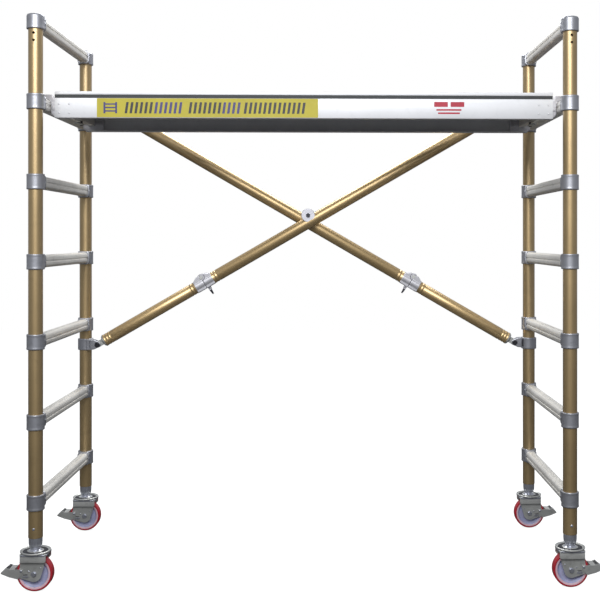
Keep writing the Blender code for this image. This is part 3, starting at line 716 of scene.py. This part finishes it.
def beam_outline():
    """The side beam's section, from its outer face inwards and from its foot up."""
    t = BEAM_WALL
    top = BEAM_HIGH.z - BEAM_LOW.z
    back = WEB_GROOVE_DEPTH + t
    points = (
        (0, 0), (FOOT_REACH, 0), (FOOT_REACH, t + 0.0025), (FOOT_REACH - 0.003, t + 0.0025),
        (FOOT_REACH - 0.003, t), (t, t), (t, WEB_GROOVE_LOW - t), (back, WEB_GROOVE_LOW - t),
        (back, LEDGE_TOP - t), (LEDGE_REACH, LEDGE_TOP - t), (LEDGE_REACH, LEDGE_TOP),
        (back, LEDGE_TOP), (back, top - t), (NOSE_REACH, top - t), (NOSE_REACH, top), (0, top),
        (0, WEB_GROOVE_HIGH), (WEB_GROOVE_DEPTH, WEB_GROOVE_HIGH),
        (WEB_GROOVE_DEPTH, WEB_GROOVE_LOW), (0, WEB_GROOVE_LOW),
    )
    return rounded(points, 0.0011, 3)


def slanted(x, z, width, height, lean=0.0):
    """A bar standing on its left foot, with its top moved sideways by lean."""
    return ((x, z), (x + width, z), (x + width + lean, z + height), (x + lean, z + height))


def printed(outline, corner=0.0):
    """A shape printed on the plate."""
    face = -BEAM_FACE - 0.0001 - PLATE_THICKNESS
    if corner:
        outline = rounded(outline, corner)
    return prism("Y", outline, face - PRINT_THICKNESS, face - PRINT_GAP)


def build_sign():
    """A yellow plate with a plain ladder mark and rows of slanted bars, and a red load mark. No lettering."""
    left, right = SIGN_SPAN
    low = BEAM_LOW.z + SIGN_LOW
    high = BEAM_LOW.z + WEB_GROOVE_LOW - 0.0010
    back = -BEAM_FACE - 0.0001
    plate = rounded(slanted(left, low, right - left, high - low), 0.003)
    piece("sign_plate", prism("Y", plate, back - PLATE_THICKNESS, back), YELLOW, "plank")
    z = low + SIGN_BORDER
    height = high - low - 2 * SIGN_BORDER
    ladder = [printed(slanted(left + x, z, STILE_WIDTH, height)) for x in STILE_PLACES]
    rung_x = STILE_PLACES[0] + STILE_WIDTH
    for level in range(LADDER_RUNGS):
        place = z + 0.006 + level * LADDER_PITCH
        ladder.append(printed(slanted(left + rung_x, place, STILE_PLACES[1] - rung_x, LADDER_RUNG_HEIGHT)))
    piece("sign_ladder_mark", together(*ladder), NAVY, "plank")
    groups = ((0.100, 6, BLACK), (0.206, 6, NAVY), (0.330, 7, BLACK), (0.452, 4, NAVY), (0.530, 13, BLACK))
    for number, (start, count, look) in enumerate(groups):
        places = [left + start + i * BAR_PITCH for i in range(count)]
        bars = [printed(slanted(x, z, BAR_WIDTH, height, BAR_LEAN), 0.001) for x in places]
        piece(f"sign_bars_{number + 1}", together(*bars), look, "plank")
    label = []
    for x, rise, width, height in LOAD_MARK:
        outline = rounded(slanted(x, BEAM_LOW.z + rise, width, height), 0.002)
        label.append(prism("Y", outline, back - PRINT_THICKNESS, back))
    piece("load_mark", together(*label), RED_PRINT, "plank")


def hook_mesh():
    """The right-hand near hook, as its CAD solid but with softened corners and a cast rib on each cheek."""
    low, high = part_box("hook_right_near")
    rung = middle("right_rung_6")
    inner = rung.x - RUNG_HALF_WIDTH - 0.001
    outer = rung.x + RUNG_HALF_WIDTH + 0.001
    top = rung.z + RUNG_HALF_HEIGHT + 0.0003
    corner = 0.0075
    tail_high = BEAM_LOW.z + WEB_GROOVE_LOW - BEAM_WALL - 0.0003
    tip = outer + 0.012
    outline = [
        (low.x, low.z), (BEAM_HIGH.x + 0.002, low.z), (inner, low.z + 0.012),
        (inner, top - corner), (inner + corner, top), (outer - corner, top), (outer, top - corner),
        (outer, top - 0.0255), (outer + 0.005, top - 0.0285), (tip, top - 0.0255),
    ]
    outline += arc((outer - 0.006, top + 0.002), 0.018, 0, 80, 4)
    outline += [(BEAM_HIGH.x + 0.010, high.z), (BEAM_HIGH.x + 0.002, tail_high), (low.x, tail_high)]
    body = prism("Y", rounded(outline, 0.003), low.y + 0.0008, high.y - 0.0008)
    rib_outline = (
        (low.x + 0.006, low.z + 0.022), (inner - 0.004, low.z + 0.026),
        (inner - 0.004, low.z + 0.038), (low.x + 0.006, low.z + 0.034),
    )
    rib = prism("Y", rounded(rib_outline, 0.002), low.y - 0.0004, high.y + 0.0004)
    return cast(body, rib, cell=0.0012, passes=4, keep=0.5)


def build_beam(end_name, end):
    """One side beam with its rivets, and a dark strip in its groove: painted shade of the groove."""
    section = [(end * (BEAM_FACE - u), BEAM_LOW.z + v) for u, v in beam_outline()]
    beam = prism("X", section, BEAM_LOW.x, BEAM_HIGH.x)
    piece(f"beam_{end_name}", beam, BRIGHT, "plank", stands_for=f"plank_beam_{end_name}")
    heads = []
    for i in range(FLANGE_RIVETS):
        x = BEAM_LOW.x * 0.95 * (1 - 2 * i / (FLANGE_RIVETS - 1))
        heads.append(dome("Z", RIVET_RADIUS, 0.0012, BEAM_HIGH.z, 1, (x, end * (BEAM_FACE - 0.011), 0)))
    for side in (-1, 1):
        for setback in WEB_RIVET_SETBACKS:
            for rise in WEB_RIVET_RISES:
                place = (side * (BEAM_HIGH.x - setback), 0, BEAM_LOW.z + rise)
                heads.append(dome("Y", RIVET_RADIUS, RIVET_RISE, end * BEAM_FACE, end, place))
    piece(f"beam_rivets_{end_name}", together(*heads), BRIGHT, "plank")
    # The groove's shade is painted: a dark strip fills the groove.
    near, far = sorted((end * (BEAM_FACE - WEB_GROOVE_DEPTH), end * (BEAM_FACE - GROOVE_SHADE_RECESS)))
    low = (BEAM_LOW.x, near, BEAM_LOW.z + WEB_GROOVE_LOW)
    high = (BEAM_HIGH.x, far, BEAM_LOW.z + WEB_GROOVE_HIGH)
    piece(f"beam_groove_shade_{end_name}", block(low, high), GROOVE_SHADE, "plank", bevel=0.0006)


def build_end_beam(node, name):
    """A rectangular tube across the plank's end."""
    low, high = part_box(node)
    reach = Vector((END_BEAM_WALL, -0.01, END_BEAM_WALL))
    tube = cut(block(low, high), block(low + reach, high - reach))
    piece(name, tube, MILL, "plank", bevel=0.0009, stands_for=node)


def build_wind_lock(node, side_name):
    """A flat plate with round ends, hanging on a pin."""
    low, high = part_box(node)
    x, y = JOINTS[f"{node}_turn"]["pos_m"][:2]
    half = (high.x - low.x) / 2
    top = low.z + LOCK_THICKNESS
    shape = arc((x, y), half, 0, 180, 12) + arc((x, low.y + half), half, 180, 360, 12)
    plate = prism("Z", shape, low.z, top)
    piece(f"wind_lock_plate_{side_name}", plate, ZINC, node, bevel=0.0008, stands_for=node)
    pin = rod("Z", 0.004, top, high.z, (x, y, 0), 24)
    head = dome("Z", 0.0062, 0.0024, low.z, -1, (x, y, 0))
    piece(f"wind_lock_pin_{side_name}", together(pin, head), DARK, node)


def build_plank():
    hook = hook_mesh()
    for end_name, end in ENDS:
        build_beam(end_name, end)
    deck = block(*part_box("plank_deck"))
    piece("deck_board", deck, PLYWOOD, "plank", bevel=0.0008, stands_for="plank_deck")
    for side_name, side in SIDES:
        for end_name, end in ENDS:
            mirror = Matrix.Diagonal((side, -end, 1, 1))
            node = f"hook_{side_name}_{end_name}"
            piece(f"{node}_casting", hook, PALE_CAST, "plank", mirror, stands_for=node)
        build_end_beam(f"plank_end_beam_{side_name}", f"end_beam_{side_name}")
        build_wind_lock(f"wind_lock_{side_name}", side_name)


# Braces ----------------------------------------
# A brace is drawn along its own line: X runs from the crossing towards its lower end, and Z is square
# to it, upwards.


def brace_matrix(side):
    """To world axes, for the brace whose lower end is on this side. The left one is the front one."""
    matrix = Matrix.Identity(4)
    matrix.col[0] = (side * math.cos(BRACE_ANGLE), 0, -math.sin(BRACE_ANGLE), 0)
    matrix.col[2] = (side * math.sin(BRACE_ANGLE), 0, math.cos(BRACE_ANGLE), 0)
    matrix.col[1] = (0, side, 0, 0)
    matrix.col[3] = (0, POST.y + side * BRACE_OFFSET, CROSSING, 1)
    return matrix


def crimped_tube(low, high, low_crimps, high_crimps):
    """A brace tube, with a ring pressed in at each of these distances from its two ends."""
    r = BRACE_RADIUS
    middles = sorted([low + d for d in low_crimps] + [high - d for d in high_crimps])
    profile = [(r - BRACE_WALL, low), (r - 0.0005, low), (r, low + 0.0005)]
    for x in middles:
        for step in (-2, -1, 0, 1, 2):
            depth = CRIMP_DEPTH * (1 - (step / 2) ** 2)
            profile.append((r - depth, x + step * CRIMP_STEP))
    profile += [(r, high - 0.0005), (r - 0.0005, high), (r - BRACE_WALL, high)]
    return turned("X", profile, 56)


def fold_outline(direction):
    """One half of the fold hinge's casting from the front, down to the tube's own width."""
    far = FOLD_AT - direction * FOLD_BLOCK
    near = FOLD_AT - direction * FOLD_SPLIT
    low = -FOLD_RADIUS
    high = FOLD_PIN_RISE + 0.010
    points = [
        (far, low + 0.002), (near, low), (near, FOLD_PIN_RISE - 0.004),
        (near - direction * 0.003, high), (near - direction * 0.019, high),
        (far + direction * 0.006, FOLD_RADIUS), (far, 0.0245),
    ]
    return rounded(points, 0.003)


def fold_casting(direction):
    """direction is 1 for the arm's half, with a tongue, and -1 for the link's, with two cheeks."""
    pin = (FOLD_AT, 0, FOLD_PIN_RISE)
    far = FOLD_AT - direction * FOLD_BLOCK
    near = FOLD_AT - direction * FOLD_SPLIT
    sleeve = rod("X", FOLD_RADIUS, *sorted((far, near)))
    body = prism("Y", fold_outline(direction), -FOLD_HALF_DEPTH, FOLD_HALF_DEPTH)
    shape = cast(sleeve, body, cell=0.0012, passes=4)
    clearance = FOLD_EYE_RADIUS + 0.0014
    web_start = FOLD_AT - direction * (FOLD_EYE_RADIUS + 0.004)
    web = (
        (web_start, FOLD_PIN_RISE + 0.009), (web_start, FOLD_PIN_RISE - 0.012),
        (FOLD_AT, FOLD_PIN_RISE - 0.012), (FOLD_AT, FOLD_PIN_RISE + 0.009),
    )
    if direction > 0:
        spans = [(-FOLD_TONGUE, FOLD_TONGUE)]
        rooms = [(FOLD_TONGUE - 0.0002, 0.05), (-0.05, 0.0002 - FOLD_TONGUE)]
    else:
        gap = FOLD_TONGUE + 0.0004
        spans = [(gap, FOLD_PIN_HALF_LENGTH), (-FOLD_PIN_HALF_LENGTH, -gap)]
        rooms = [(-FOLD_TONGUE - 0.0002, FOLD_TONGUE + 0.0002)]
    shape = cut(shape, *(rod("Y", clearance, *room, pin) for room in rooms))
    eyes = []
    for span in spans:
        eyes.append(rod("Y", FOLD_EYE_RADIUS, *span, pin, ease=0.0012))
        eyes.append(prism("Y", web, *span))
    return joined(shape, *eyes)


def latch_ears():
    """The two ears under the arm's casting that the release lever hangs between."""
    x = LATCH_AT
    outline = [(x - 0.006, -0.022), *arc((x, -LATCH_DROP), 0.006, 180, 360, 10), (x + 0.006, -0.022)]
    inner, outer = LATCH_HALF_WIDTH + 0.0003, LATCH_HALF_WIDTH + 0.0035
    return [prism("Y", outline, *sorted((end * inner, end * outer))) for end in (1, -1)]


def end_fitting(direction):
    """The plug pressed into a tube's end, with the tongue that a clamp's pin passes through."""
    end = direction * (BRACE_LENGTH - TUBE_END)
    tip = direction * BRACE_LENGTH
    r = BRACE_RADIUS
    profile = [
        (0, end - direction * 0.020), (r - BRACE_WALL - 0.0003, end - direction * 0.020),
        (r - BRACE_WALL - 0.0003, end + direction * 0.0004),
        (r + 0.0004, end + direction * 0.0004), (r + 0.0004, end + direction * 0.004),
        (r - 0.004, end + direction * 0.009), (0, end + direction * 0.014),
    ]
    plug = turned("X", profile, 48, closed=False)
    sweep = (-80, 80) if direction > 0 else (260, 100)
    tongue = [(end, 0.012), (end, -0.012), (tip, -EYE_RADIUS), *arc((tip, 0), EYE_RADIUS, *sweep, 8)]
    tongue.append((tip, EYE_RADIUS))
    eye = prism("Y", tongue, -EYE_HALF_WIDTH, EYE_HALF_WIDTH)
    return joined(plug, eye)


def clamp_mesh():
    """A plain band round the post, drawn round the origin, and the X of the pin that the cheeks carry."""
    pin_x = POST.x - HALF_SPAN
    band = [
        (0, -CLAMP_HALF_HEIGHT), (CLAMP_RADIUS - 0.0015, -CLAMP_HALF_HEIGHT),
        (CLAMP_RADIUS, 0.0015 - CLAMP_HALF_HEIGHT), (CLAMP_RADIUS, CLAMP_HALF_HEIGHT - 0.0015),
        (CLAMP_RADIUS - 0.0015, CLAMP_HALF_HEIGHT), (0, CLAMP_HALF_HEIGHT),
    ]
    return pin_x, turned("Z", band, 64, closed=False)


def build_clamp(node, side, offset):
    """offset is how far the brace's line lies behind the post's, in Y."""
    place = Matrix.Translation((side * POST.x, POST.y, middle(node).z)) @ Matrix.Diagonal((-side, 1, 1, 1))
    pin_x, band = clamp_mesh()
    tall = CLAMP_HALF_HEIGHT - 0.001
    outline = [(0.012, tall), (0.012, -tall), (0.044, 0.003 - tall)]
    outline += arc((pin_x, 0), EYE_RADIUS, -55, 55, 6)
    outline += [(0.044, tall - 0.003)]
    lug = prism("Y", outline, offset - CHEEK_HALF_WIDTH, offset + CHEEK_HALF_WIDTH)
    shape = cast(band, lug, cell=0.0013, passes=3, keep=0.5)
    slot_low = offset - EYE_HALF_WIDTH - 0.0004
    slot_high = offset + EYE_HALF_WIDTH + 0.0004
    slot = block((pin_x - 0.0225, slot_low, -0.05), (0.2, slot_high, 0.05))
    front = offset - CHEEK_HALF_WIDTH
    split = block((0.0255, front - 0.03, -0.016), (0.0300, front + 0.008, 0.016))
    bore = rod("Z", POST_RADIUS + 0.0002, -0.1, 0.1, sides=72)
    piece(f"{node}_casting", cut(shape, slot, split, bore), CAST, "frames", place, stands_for=node)
    reach = CHEEK_HALF_WIDTH
    bolt = together(
        rod("Y", 0.005, offset - reach, offset + reach, (pin_x, 0, 0), 24),
        rod("Y", 0.0098, offset - reach - 0.0062, offset - reach - 0.0016, (pin_x, 0, 0), 6, ease=0.0008),
        rod("Y", 0.0112, offset - reach - 0.0016, offset - reach, (pin_x, 0, 0), 32, ease=0.0004),
        rod("Y", 0.0092, offset + reach, offset + reach + 0.0055, (pin_x, 0, 0), 6, ease=0.0008),
    )
    piece(f"{node}_bolt", bolt, DARK, "frames", place)


def fold_pin_mesh():
    centre = (FOLD_AT, 0, FOLD_PIN_RISE)
    reach = FOLD_PIN_HALF_LENGTH
    heads = [
        rod("Y", 0.0075, low, high, centre, 32, ease=0.0005)
        for low, high in ((-reach - 0.0023, -reach), (reach, reach + 0.0023))
    ]
    return together(*heads, rod("Y", 0.0045, -reach, reach, centre, 24))


def pivot_lug_mesh():
    """The round casting at the crossing. Its flat face lies just short of the plane where the braces meet."""
    pivot = (-PIVOT_RISE * math.sin(BRACE_ANGLE), 0, PIVOT_RISE * math.cos(BRACE_ANGLE))
    face = BRACE_OFFSET - 0.0003
    lug = rod("Y", PIVOT_DISC_RADIUS, *sorted((-face, PIVOT_LUG - face)), pivot, 64, ease=0.0015)
    return cut(lug, rod("X", BRACE_RADIUS - BRACE_WALL, -0.1, 0.1))


def build_lever(node, matrix):
    """The release lever on its own pin."""
    x, z = LATCH_AT, (matrix.inverted() @ Vector(JOINTS[f"{node}_pull"]["pos_m"])).z
    outline = arc((x, z), 0.0045, 180, 0, 8)
    outline += [(x + 0.0055, z - 0.006), (x + 0.002, z - LATCH_LENGTH), (x - 0.003, z - LATCH_LENGTH)]
    half = LATCH_HALF_WIDTH
    pin = rod("Y", 0.0022, -half - 0.0045, half + 0.0045, (x, 0, z), 20, ease=0.0003)
    lever = joined(prism("Y", rounded(outline, 0.0015, 3), -half, half), pin)
    piece(f"{node}_lever", lever, DARK, node, matrix, 0.0007, node, own_axes=True)


def build_pivot_bolt():
    low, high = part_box("brace_pivot_bolt")
    place = (0, 0, middle("brace_pivot_bolt").z)
    head = 0.006
    bolt = together(
        rod("Y", 0.005, low.y + head, high.y - head, place, 24),
        rod("Y", 0.0092, low.y, low.y + head, place, 6, ease=0.0008),
        rod("Y", 0.0092, high.y - head, high.y, place, 6, ease=0.0008),
    )
    piece("pivot_bolt", bolt, DARK, "frames", stands_for="brace_pivot_bolt")


def build_braces():
    castings = {1: joined(fold_casting(1), *latch_ears()), -1: fold_casting(-1)}
    stop = FOLD_BLOCK - 0.004
    arm_tube = crimped_tube(TUBE_END - BRACE_LENGTH, FOLD_AT - stop, END_CRIMPS, FOLD_CRIMPS)
    link_tube = crimped_tube(FOLD_AT + stop, BRACE_LENGTH - TUBE_END, FOLD_CRIMPS, END_CRIMPS)
    fold_pin = fold_pin_mesh()
    pivot_lug = pivot_lug_mesh()
    for letter, side in (("a", -1), ("b", 1)):
        matrix = brace_matrix(side)
        for half, tube, direction in (("arm", arm_tube, 1), ("link", link_tube, -1)):
            name = f"brace_{letter}_{half}"
            piece(f"{name}_tube", tube, BRACE_LIT_GOLD, "frames", matrix, stands_for=name, own_axes=True)
            piece(f"{name}_hinge", castings[direction], PALE_CAST, "frames", matrix, own_axes=True)
            piece(f"{name}_end", end_fitting(-direction), ZINC, "frames", matrix, own_axes=True)
        piece(f"brace_{letter}_fold_pin", fold_pin, ZINC, "frames", matrix, own_axes=True)
        piece(f"brace_{letter}_pivot_lug", pivot_lug, DISC, "frames", matrix, own_axes=True)
        build_lever(f"fold_latch_{letter}", matrix)
    for side_name, side in SIDES:
        build_clamp(f"lower_clamp_{side_name}", side, side * BRACE_OFFSET)
        build_clamp(f"upper_clamp_{side_name}", side, -side * BRACE_OFFSET)
    build_pivot_bolt()


# Casters ----------------------------------------
# A caster is drawn under its post at the origin, with its brake pedal towards +X.


def sleeve_mesh():
    """The sleeve under the post, drawn in like a bell, and the boss below it."""
    r = SLEEVE_RADIUS
    top = POST_LOW - 0.0003
    profile = [(0, top), (r - 0.001, top), (r, top - 0.001)]
    for out, down in arc((0, 0), 1, 0, -90, 8):
        profile.append((SLEEVE_NECK + (r - SLEEVE_NECK) * out, SLEEVE_BELL + 0.026 * down))
    profile += [(0.0170, 0.1455), (0.0200, 0.1425), (0.0230, PLATE_LOW + 0.0058), (0.0, PLATE_LOW + 0.0058)]
    return turned("Z", profile, 56, closed=False)


def swivel_plate_mesh():
    """A dished disc with a rolled rim, lying on the fork's crown."""
    r, z = PLATE_RADIUS, PLATE_LOW
    profile = [(0.0085, z), (r - 0.007, z), (r - 0.002, z + 0.0012), (r, z + 0.0035)]
    profile += [(r - 0.0006, z + 0.0062), (r - 0.0026, z + 0.0072), (r - 0.0042, z + 0.0062)]
    profile += [(r - 0.0062, z + 0.0038), (r - 0.012, z + 0.0028), (0.030, z + 0.0028)]
    profile += [(0.026, z + 0.0058), (0.0085, z + 0.0058)]
    return turned("Z", profile, 64)


def swivel_dish_shade_mesh():
    """A dark ring lying in the swivel plate's dish, with a raised inner lip: painted shade of the dish's
    interior.
    """
    z = CROWN_HIGH + 0.0030
    profile = [(0.0235, z), (0.0435, z), (0.0425, z + 0.0012), (0.0330, z + 0.0006)]
    profile += [(0.0245, z + 0.0024), (0.0235, z + 0.0024)]
    return turned("Z", profile, 56)


def fork_mesh():
    """The stamped fork: a crown and two legs."""
    crown_inner = CROWN_HALF_DEPTH - 0.0035
    section = [(CROWN_HALF_DEPTH, CROWN_HIGH), (CROWN_HALF_DEPTH, CROWN_LOW), (LEG_OUTER, CROWN_LOW - 0.001)]
    section += [(LEG_OUTER, 0), (LEG_INNER, 0), (LEG_INNER, CROWN_LOW + 0.0025)]
    section += [(crown_inner, CROWN_LOW + 0.0035), (crown_inner, CROWN_HIGH - 0.005)]
    section += [(-y, z) for y, z in reversed(section)]
    stamped = prism("X", rounded(section, 0.0016, 3), -0.060, 0.060)
    above = CROWN_HIGH + 0.015
    side_view = [(0.0445, above), (0.0445, CROWN_LOW + 0.004), (0.048, CROWN_LOW - 0.008), (0.048, 0.050)]
    side_view += arc((0, HUB_HEIGHT), 0.0265, -62, -150, 8)
    side_view += [(-0.034, 0.085), (-0.038, CROWN_LOW), (-0.0445, CROWN_LOW + 0.004), (-0.0445, above)]
    return combined("INTERSECT", stamped, [prism("Y", rounded(side_view, 0.004, 4), -0.050, 0.050)])


def crown_rim_mesh():
    """The bright rolled edge round the crown's top."""
    outer, inner = (
        rounded(((-x, -y), (x, -y), (x, y), (-x, y)), corner, 6)
        for x, y, corner in ((0.0475, 0.0385, 0.012), (0.0435, 0.0345, 0.009))
    )
    ring = prism("Z", outer, CROWN_HIGH - 0.0075, CROWN_HIGH - 0.0005)
    return cut(ring, prism("Z", inner, CROWN_HIGH - 0.02, CROWN_HIGH + 0.02))


def fork_details():
    """Axle bolt heads and nuts, small rivets, and a raised strip over a slot on each leg."""
    shapes = []
    for _, end in ENDS:
        base = end * LEG_OUTER
        hub = (0, 0, HUB_HEIGHT)
        washer = base + end * 0.0012
        shapes.append(rod("Y", 0.0100, *sorted((base, washer)), hub, 32, ease=0.0004))
        shapes.append(rod("Y", 0.0082, *sorted((washer, base + end * 0.0056)), hub, 6, ease=0.0008))
        for x, z in ((0.0165, 0.0725), (-0.0235, 0.0835)):
            shapes.append(dome("Y", 0.0028, 0.0014, base, end, (x, 0, z)))
        strip = rounded(slanted(0.019, 0.050, 0.020, 0.0075), 0.002)
        shapes.append(prism("Y", strip, *sorted((base - end * 0.0002, washer))))
    return together(*shapes)


def slot_shadows():
    """A dark sheet above each leg's raised strip: painted shade of the slot there."""
    strip = rounded(slanted(0.0205, 0.0590, 0.0170, 0.0030), 0.0012)
    spans = [sorted((end * (LEG_OUTER - 0.0002), end * (LEG_OUTER + 0.0002))) for _, end in ENDS]
    return together(*(prism("Y", strip, *span) for span in spans))


def axle_mesh():
    return rod("Y", 0.0048, -LEG_OUTER - 0.0004, LEG_OUTER + 0.0004, (0, 0, HUB_HEIGHT), 24)


def core_mesh():
    rim = RIM_RADIUS
    half = WHEEL_HALF_WIDTH
    face = [(0.0054, half), (0.0145, half), (0.0165, half - 0.001), (0.0178, half - 0.004), (0.0195, 0.0075)]
    face += [(rim - 0.0135, 0.0075), (rim - 0.0115, 0.009)]
    face += [(rim - 0.0080, half - 0.003), (rim - 0.0065, half - 0.002)]
    profile = face + [(radius, -y) for radius, y in reversed(face)]
    return turned("Y", profile, 64, (0, 0, HUB_HEIGHT))


def edge_ring_mesh():
    """The translucent band of the tread's material that shows on both sides of the wheel."""
    inner, outer = RIM_RADIUS - 0.0063, RIM_RADIUS + 0.0002
    half = WHEEL_HALF_WIDTH - 0.0006
    profile = [(inner, -half + 0.001), (inner, half - 0.001), (RIM_RADIUS - 0.0045, half), (outer, half)]
    profile += [(outer, -half), (RIM_RADIUS - 0.0045, -half)]
    return turned("Y", profile, 64, (0, 0, HUB_HEIGHT))


def tread_mesh():
    rim = RIM_RADIUS + 0.0003
    half = WHEEL_HALF_WIDTH
    round_at = WHEEL_RADIUS - TREAD_ROUND
    shoulder = arc((round_at, half - TREAD_ROUND), TREAD_ROUND, 90, 0, 6)
    profile = [(rim, -half + 0.0006), (rim, half - 0.0006), (rim + 0.001, half), *shoulder]
    profile += [(radius, -y) for radius, y in reversed(shoulder)]
    profile.append((rim + 0.001, -half))
    return turned("Y", profile, 72, (0, 0, HUB_HEIGHT))


def pedal_mesh():
    """The folded brake pedal astride the wheel: top plate, two cheeks, turned-down beak and the shoe."""
    outer = size("brake_pedal_right_near").y / 2 - PEDAL_INSET
    skin = 0.0025
    side_view = [(0.037, 0.080), (0.066, 0.0805), (0.083, 0.0800), (0.094, 0.0840), (0.114, 0.069)]
    side_view += [(0.112, 0.065), (0.085, 0.054), (0.054, 0.046), (0.037, 0.068)]
    below = [(0.030, 0.020), (0.030, 0.0985), (0.0665, 0.0985), (0.0665, 0.0805 - skin)]
    below += [(0.083, 0.0800 - skin), (0.0925, 0.0840 - skin), (0.110, 0.067), (0.120, 0.020)]
    shell = prism("Y", rounded(side_view, 0.0022, 3), -outer, outer)
    shell = cut(shell, prism("Y", below, skin - outer, outer - skin))
    shoe = prism("Y", ((0.0665, 0.079), (0.0665, 0.066), (0.070, 0.066), (0.072, 0.079)), -0.012, 0.012)
    return joined(shell, shoe)


def pedal_recess_shade():
    """Dark bars across the pedal's top, where a foot presses: painted shade of a recess there."""
    bars = []
    for i in range(RECESS_SHADE_BARS):
        x = 0.0855 + i * 0.0034
        z = 0.0805 + i * 0.00125
        bars.append(block((x, -0.0215, z), (x + 0.0022, 0.0215, z + 0.0024)))
    return together(*bars)


def pedal_pins():
    x, _, z = Vector(JOINTS["brake_right_near"]["pos_m"]) - Vector((POST.x, -POST.y, 0))
    face = size("brake_pedal_right_near").y / 2 - PEDAL_INSET
    pins = []
    for _, end in ENDS:
        pins.append(rod("Y", 0.003, *sorted((end * (LEG_INNER + 0.0003), end * face)), (x, 0, z), 20))
        pins.append(dome("Y", 0.0048, 0.0018, end * face, end, (x, 0, z)))
    return together(*pins)


def build_casters():
    """Every caster has these pieces: mesh, name, look, body, CAD node that it stands for, and bevel."""
    pieces = (
        (sleeve_mesh(), "swivel_sleeve", SLEEVE, "frames", "caster_stem", 0),
        (swivel_plate_mesh(), "swivel_plate", ZINC, "frames", None, 0),
        # The swivel plate's dish is darkened with painted shade: a dark ring.
        (swivel_dish_shade_mesh(), "swivel_dish_shade", DARK, "frames", None, 0),
        (core_mesh(), "wheel_core_look", CORE, "wheel", "wheel_core", 0),
        (edge_ring_mesh(), "wheel_edge_ring_look", RING, "wheel", None, 0),
        (tread_mesh(), "wheel_tread_look", RED, "wheel", "wheel_tyre", 0),
        (fork_mesh(), "fork", ZINC, "caster", "caster_fork", 0),
        (crown_rim_mesh(), "fork_rim", SLEEVE, "caster", None, 0.0024),
        (fork_details(), "fork_details", SLEEVE, "caster", None, 0),
        # The fork's slots are painted shade: dark sheets on the legs.
        (slot_shadows(), "fork_slot_shade", DARK, "caster", None, 0),
        (axle_mesh(), "axle", DARK, "caster", None, 0),
        (pedal_mesh(), "pedal_shell", ZINC, "pedal", "brake_pedal", 0),
        # The pedal's dark recess is painted shade: dark bars on its top.
        (pedal_recess_shade(), "pedal_recess_shade", DARK, "pedal", None, 0.0004),
        (pedal_pins(), "pedal_pins", SLEEVE, "pedal", None, 0),
    )
    for side_name, side in SIDES:
        for end_name, end in ENDS:
            tag = f"{side_name}_{end_name}"
            place = Matrix.Translation((side * POST.x, end * POST.y, 0)) @ Matrix.Diagonal((side, 1, 1, 1))
            for mesh, name, look, group, node, bevel in pieces:
                body = group if group == "frames" else f"{group}_{tag}"
                stands_for = f"{node}_{tag}" if node else None
                piece(f"{name}_{tag}", mesh, look, body, place, bevel, stands_for)


# Stage ----------------------------------------


def seen_directly(tree, otherwise, seen, output):
    """Shows one shader in the picture itself, and lights the object with the other."""
    path = made_node(tree, "ShaderNodeLightPath")
    mix = made_node(tree, "ShaderNodeMixShader")
    linked(tree, (path, "Is Camera Ray"), (mix, "Fac"), (otherwise, 0), (mix, 1), (seen, 0), (mix, 2))
    linked(tree, (mix, "Shader"), (output, "Surface"))


def build_stage():
    floor = scratch_object(block(*FLOOR_PLACE))
    floor.name = "floor"
    made, tree, shader, coordinates = new_material("pale_floor")
    base = mottled(tree, coordinates, 3, 4, *((grey, grey, grey) for grey in FLOOR_GREY))
    linked(tree, base, (shader, "Base Color"))
    set_inputs(shader, {"Roughness": 0.9, "Emission Color": WHITE, "Emission Strength": FLOOR_GLOW})
    dim = made_node(tree, "ShaderNodeBsdfDiffuse")
    set_inputs(dim, {"Color": (FLOOR_BOUNCE, FLOOR_BOUNCE, FLOOR_BOUNCE, 1)})
    seen_directly(tree, dim, shader, tree.nodes["Material Output"])
    floor.data.materials.append(made)


def softbox(name, place, target, width, height, power):
    data = bpy.data.lights.new(name, "AREA")
    data.shape = "RECTANGLE"
    data.size = width
    data.size_y = height
    data.energy = power
    light = bpy.data.objects.new(name, data)
    light.location = place
    light.rotation_euler = (Vector(target) - Vector(place)).to_track_quat("-Z", "Y").to_euler()
    light.visible_camera = False
    bpy.context.scene.collection.objects.link(light)


def build_lights():
    softbox("key", (-0.3, -3.9, 3.1), (0, 0, 1.1), 3.2, 1.6, 140)
    softbox("rear", (0.0, 1.7, 3.6), (0, 0.3, 1.0), 2.8, 1.4, 90)
    world = bpy.data.worlds.new("studio")
    bpy.context.scene.world = world
    world.use_nodes = True
    tree = world.node_tree
    backdrop = tree.nodes["Background"]
    set_inputs(backdrop, {"Color": WHITE})
    room = made_node(tree, "ShaderNodeBackground")
    set_inputs(room, {"Color": ROOM_COLOUR, "Strength": ROOM_LIGHT})
    seen_directly(tree, room, backdrop, tree.nodes["World Output"])


def build_camera():
    data = bpy.data.cameras.new("camera")
    data.sensor_width = 36.0
    data.lens = CAMERA_LENS
    data.shift_x, data.shift_y = CAMERA_SHIFT
    camera = bpy.data.objects.new("camera", data)
    camera.location = CAMERA_PLACE
    camera.rotation_euler = (math.radians(90), 0, CAMERA_TURN)
    bpy.context.scene.collection.objects.link(camera)
    bpy.context.scene.camera = camera


build_frames()
build_plank()
build_sign()
build_braces()
build_casters()
build_stage()
build_lights()
build_camera()
bpy.context.scene.view_settings.view_transform = "Standard"
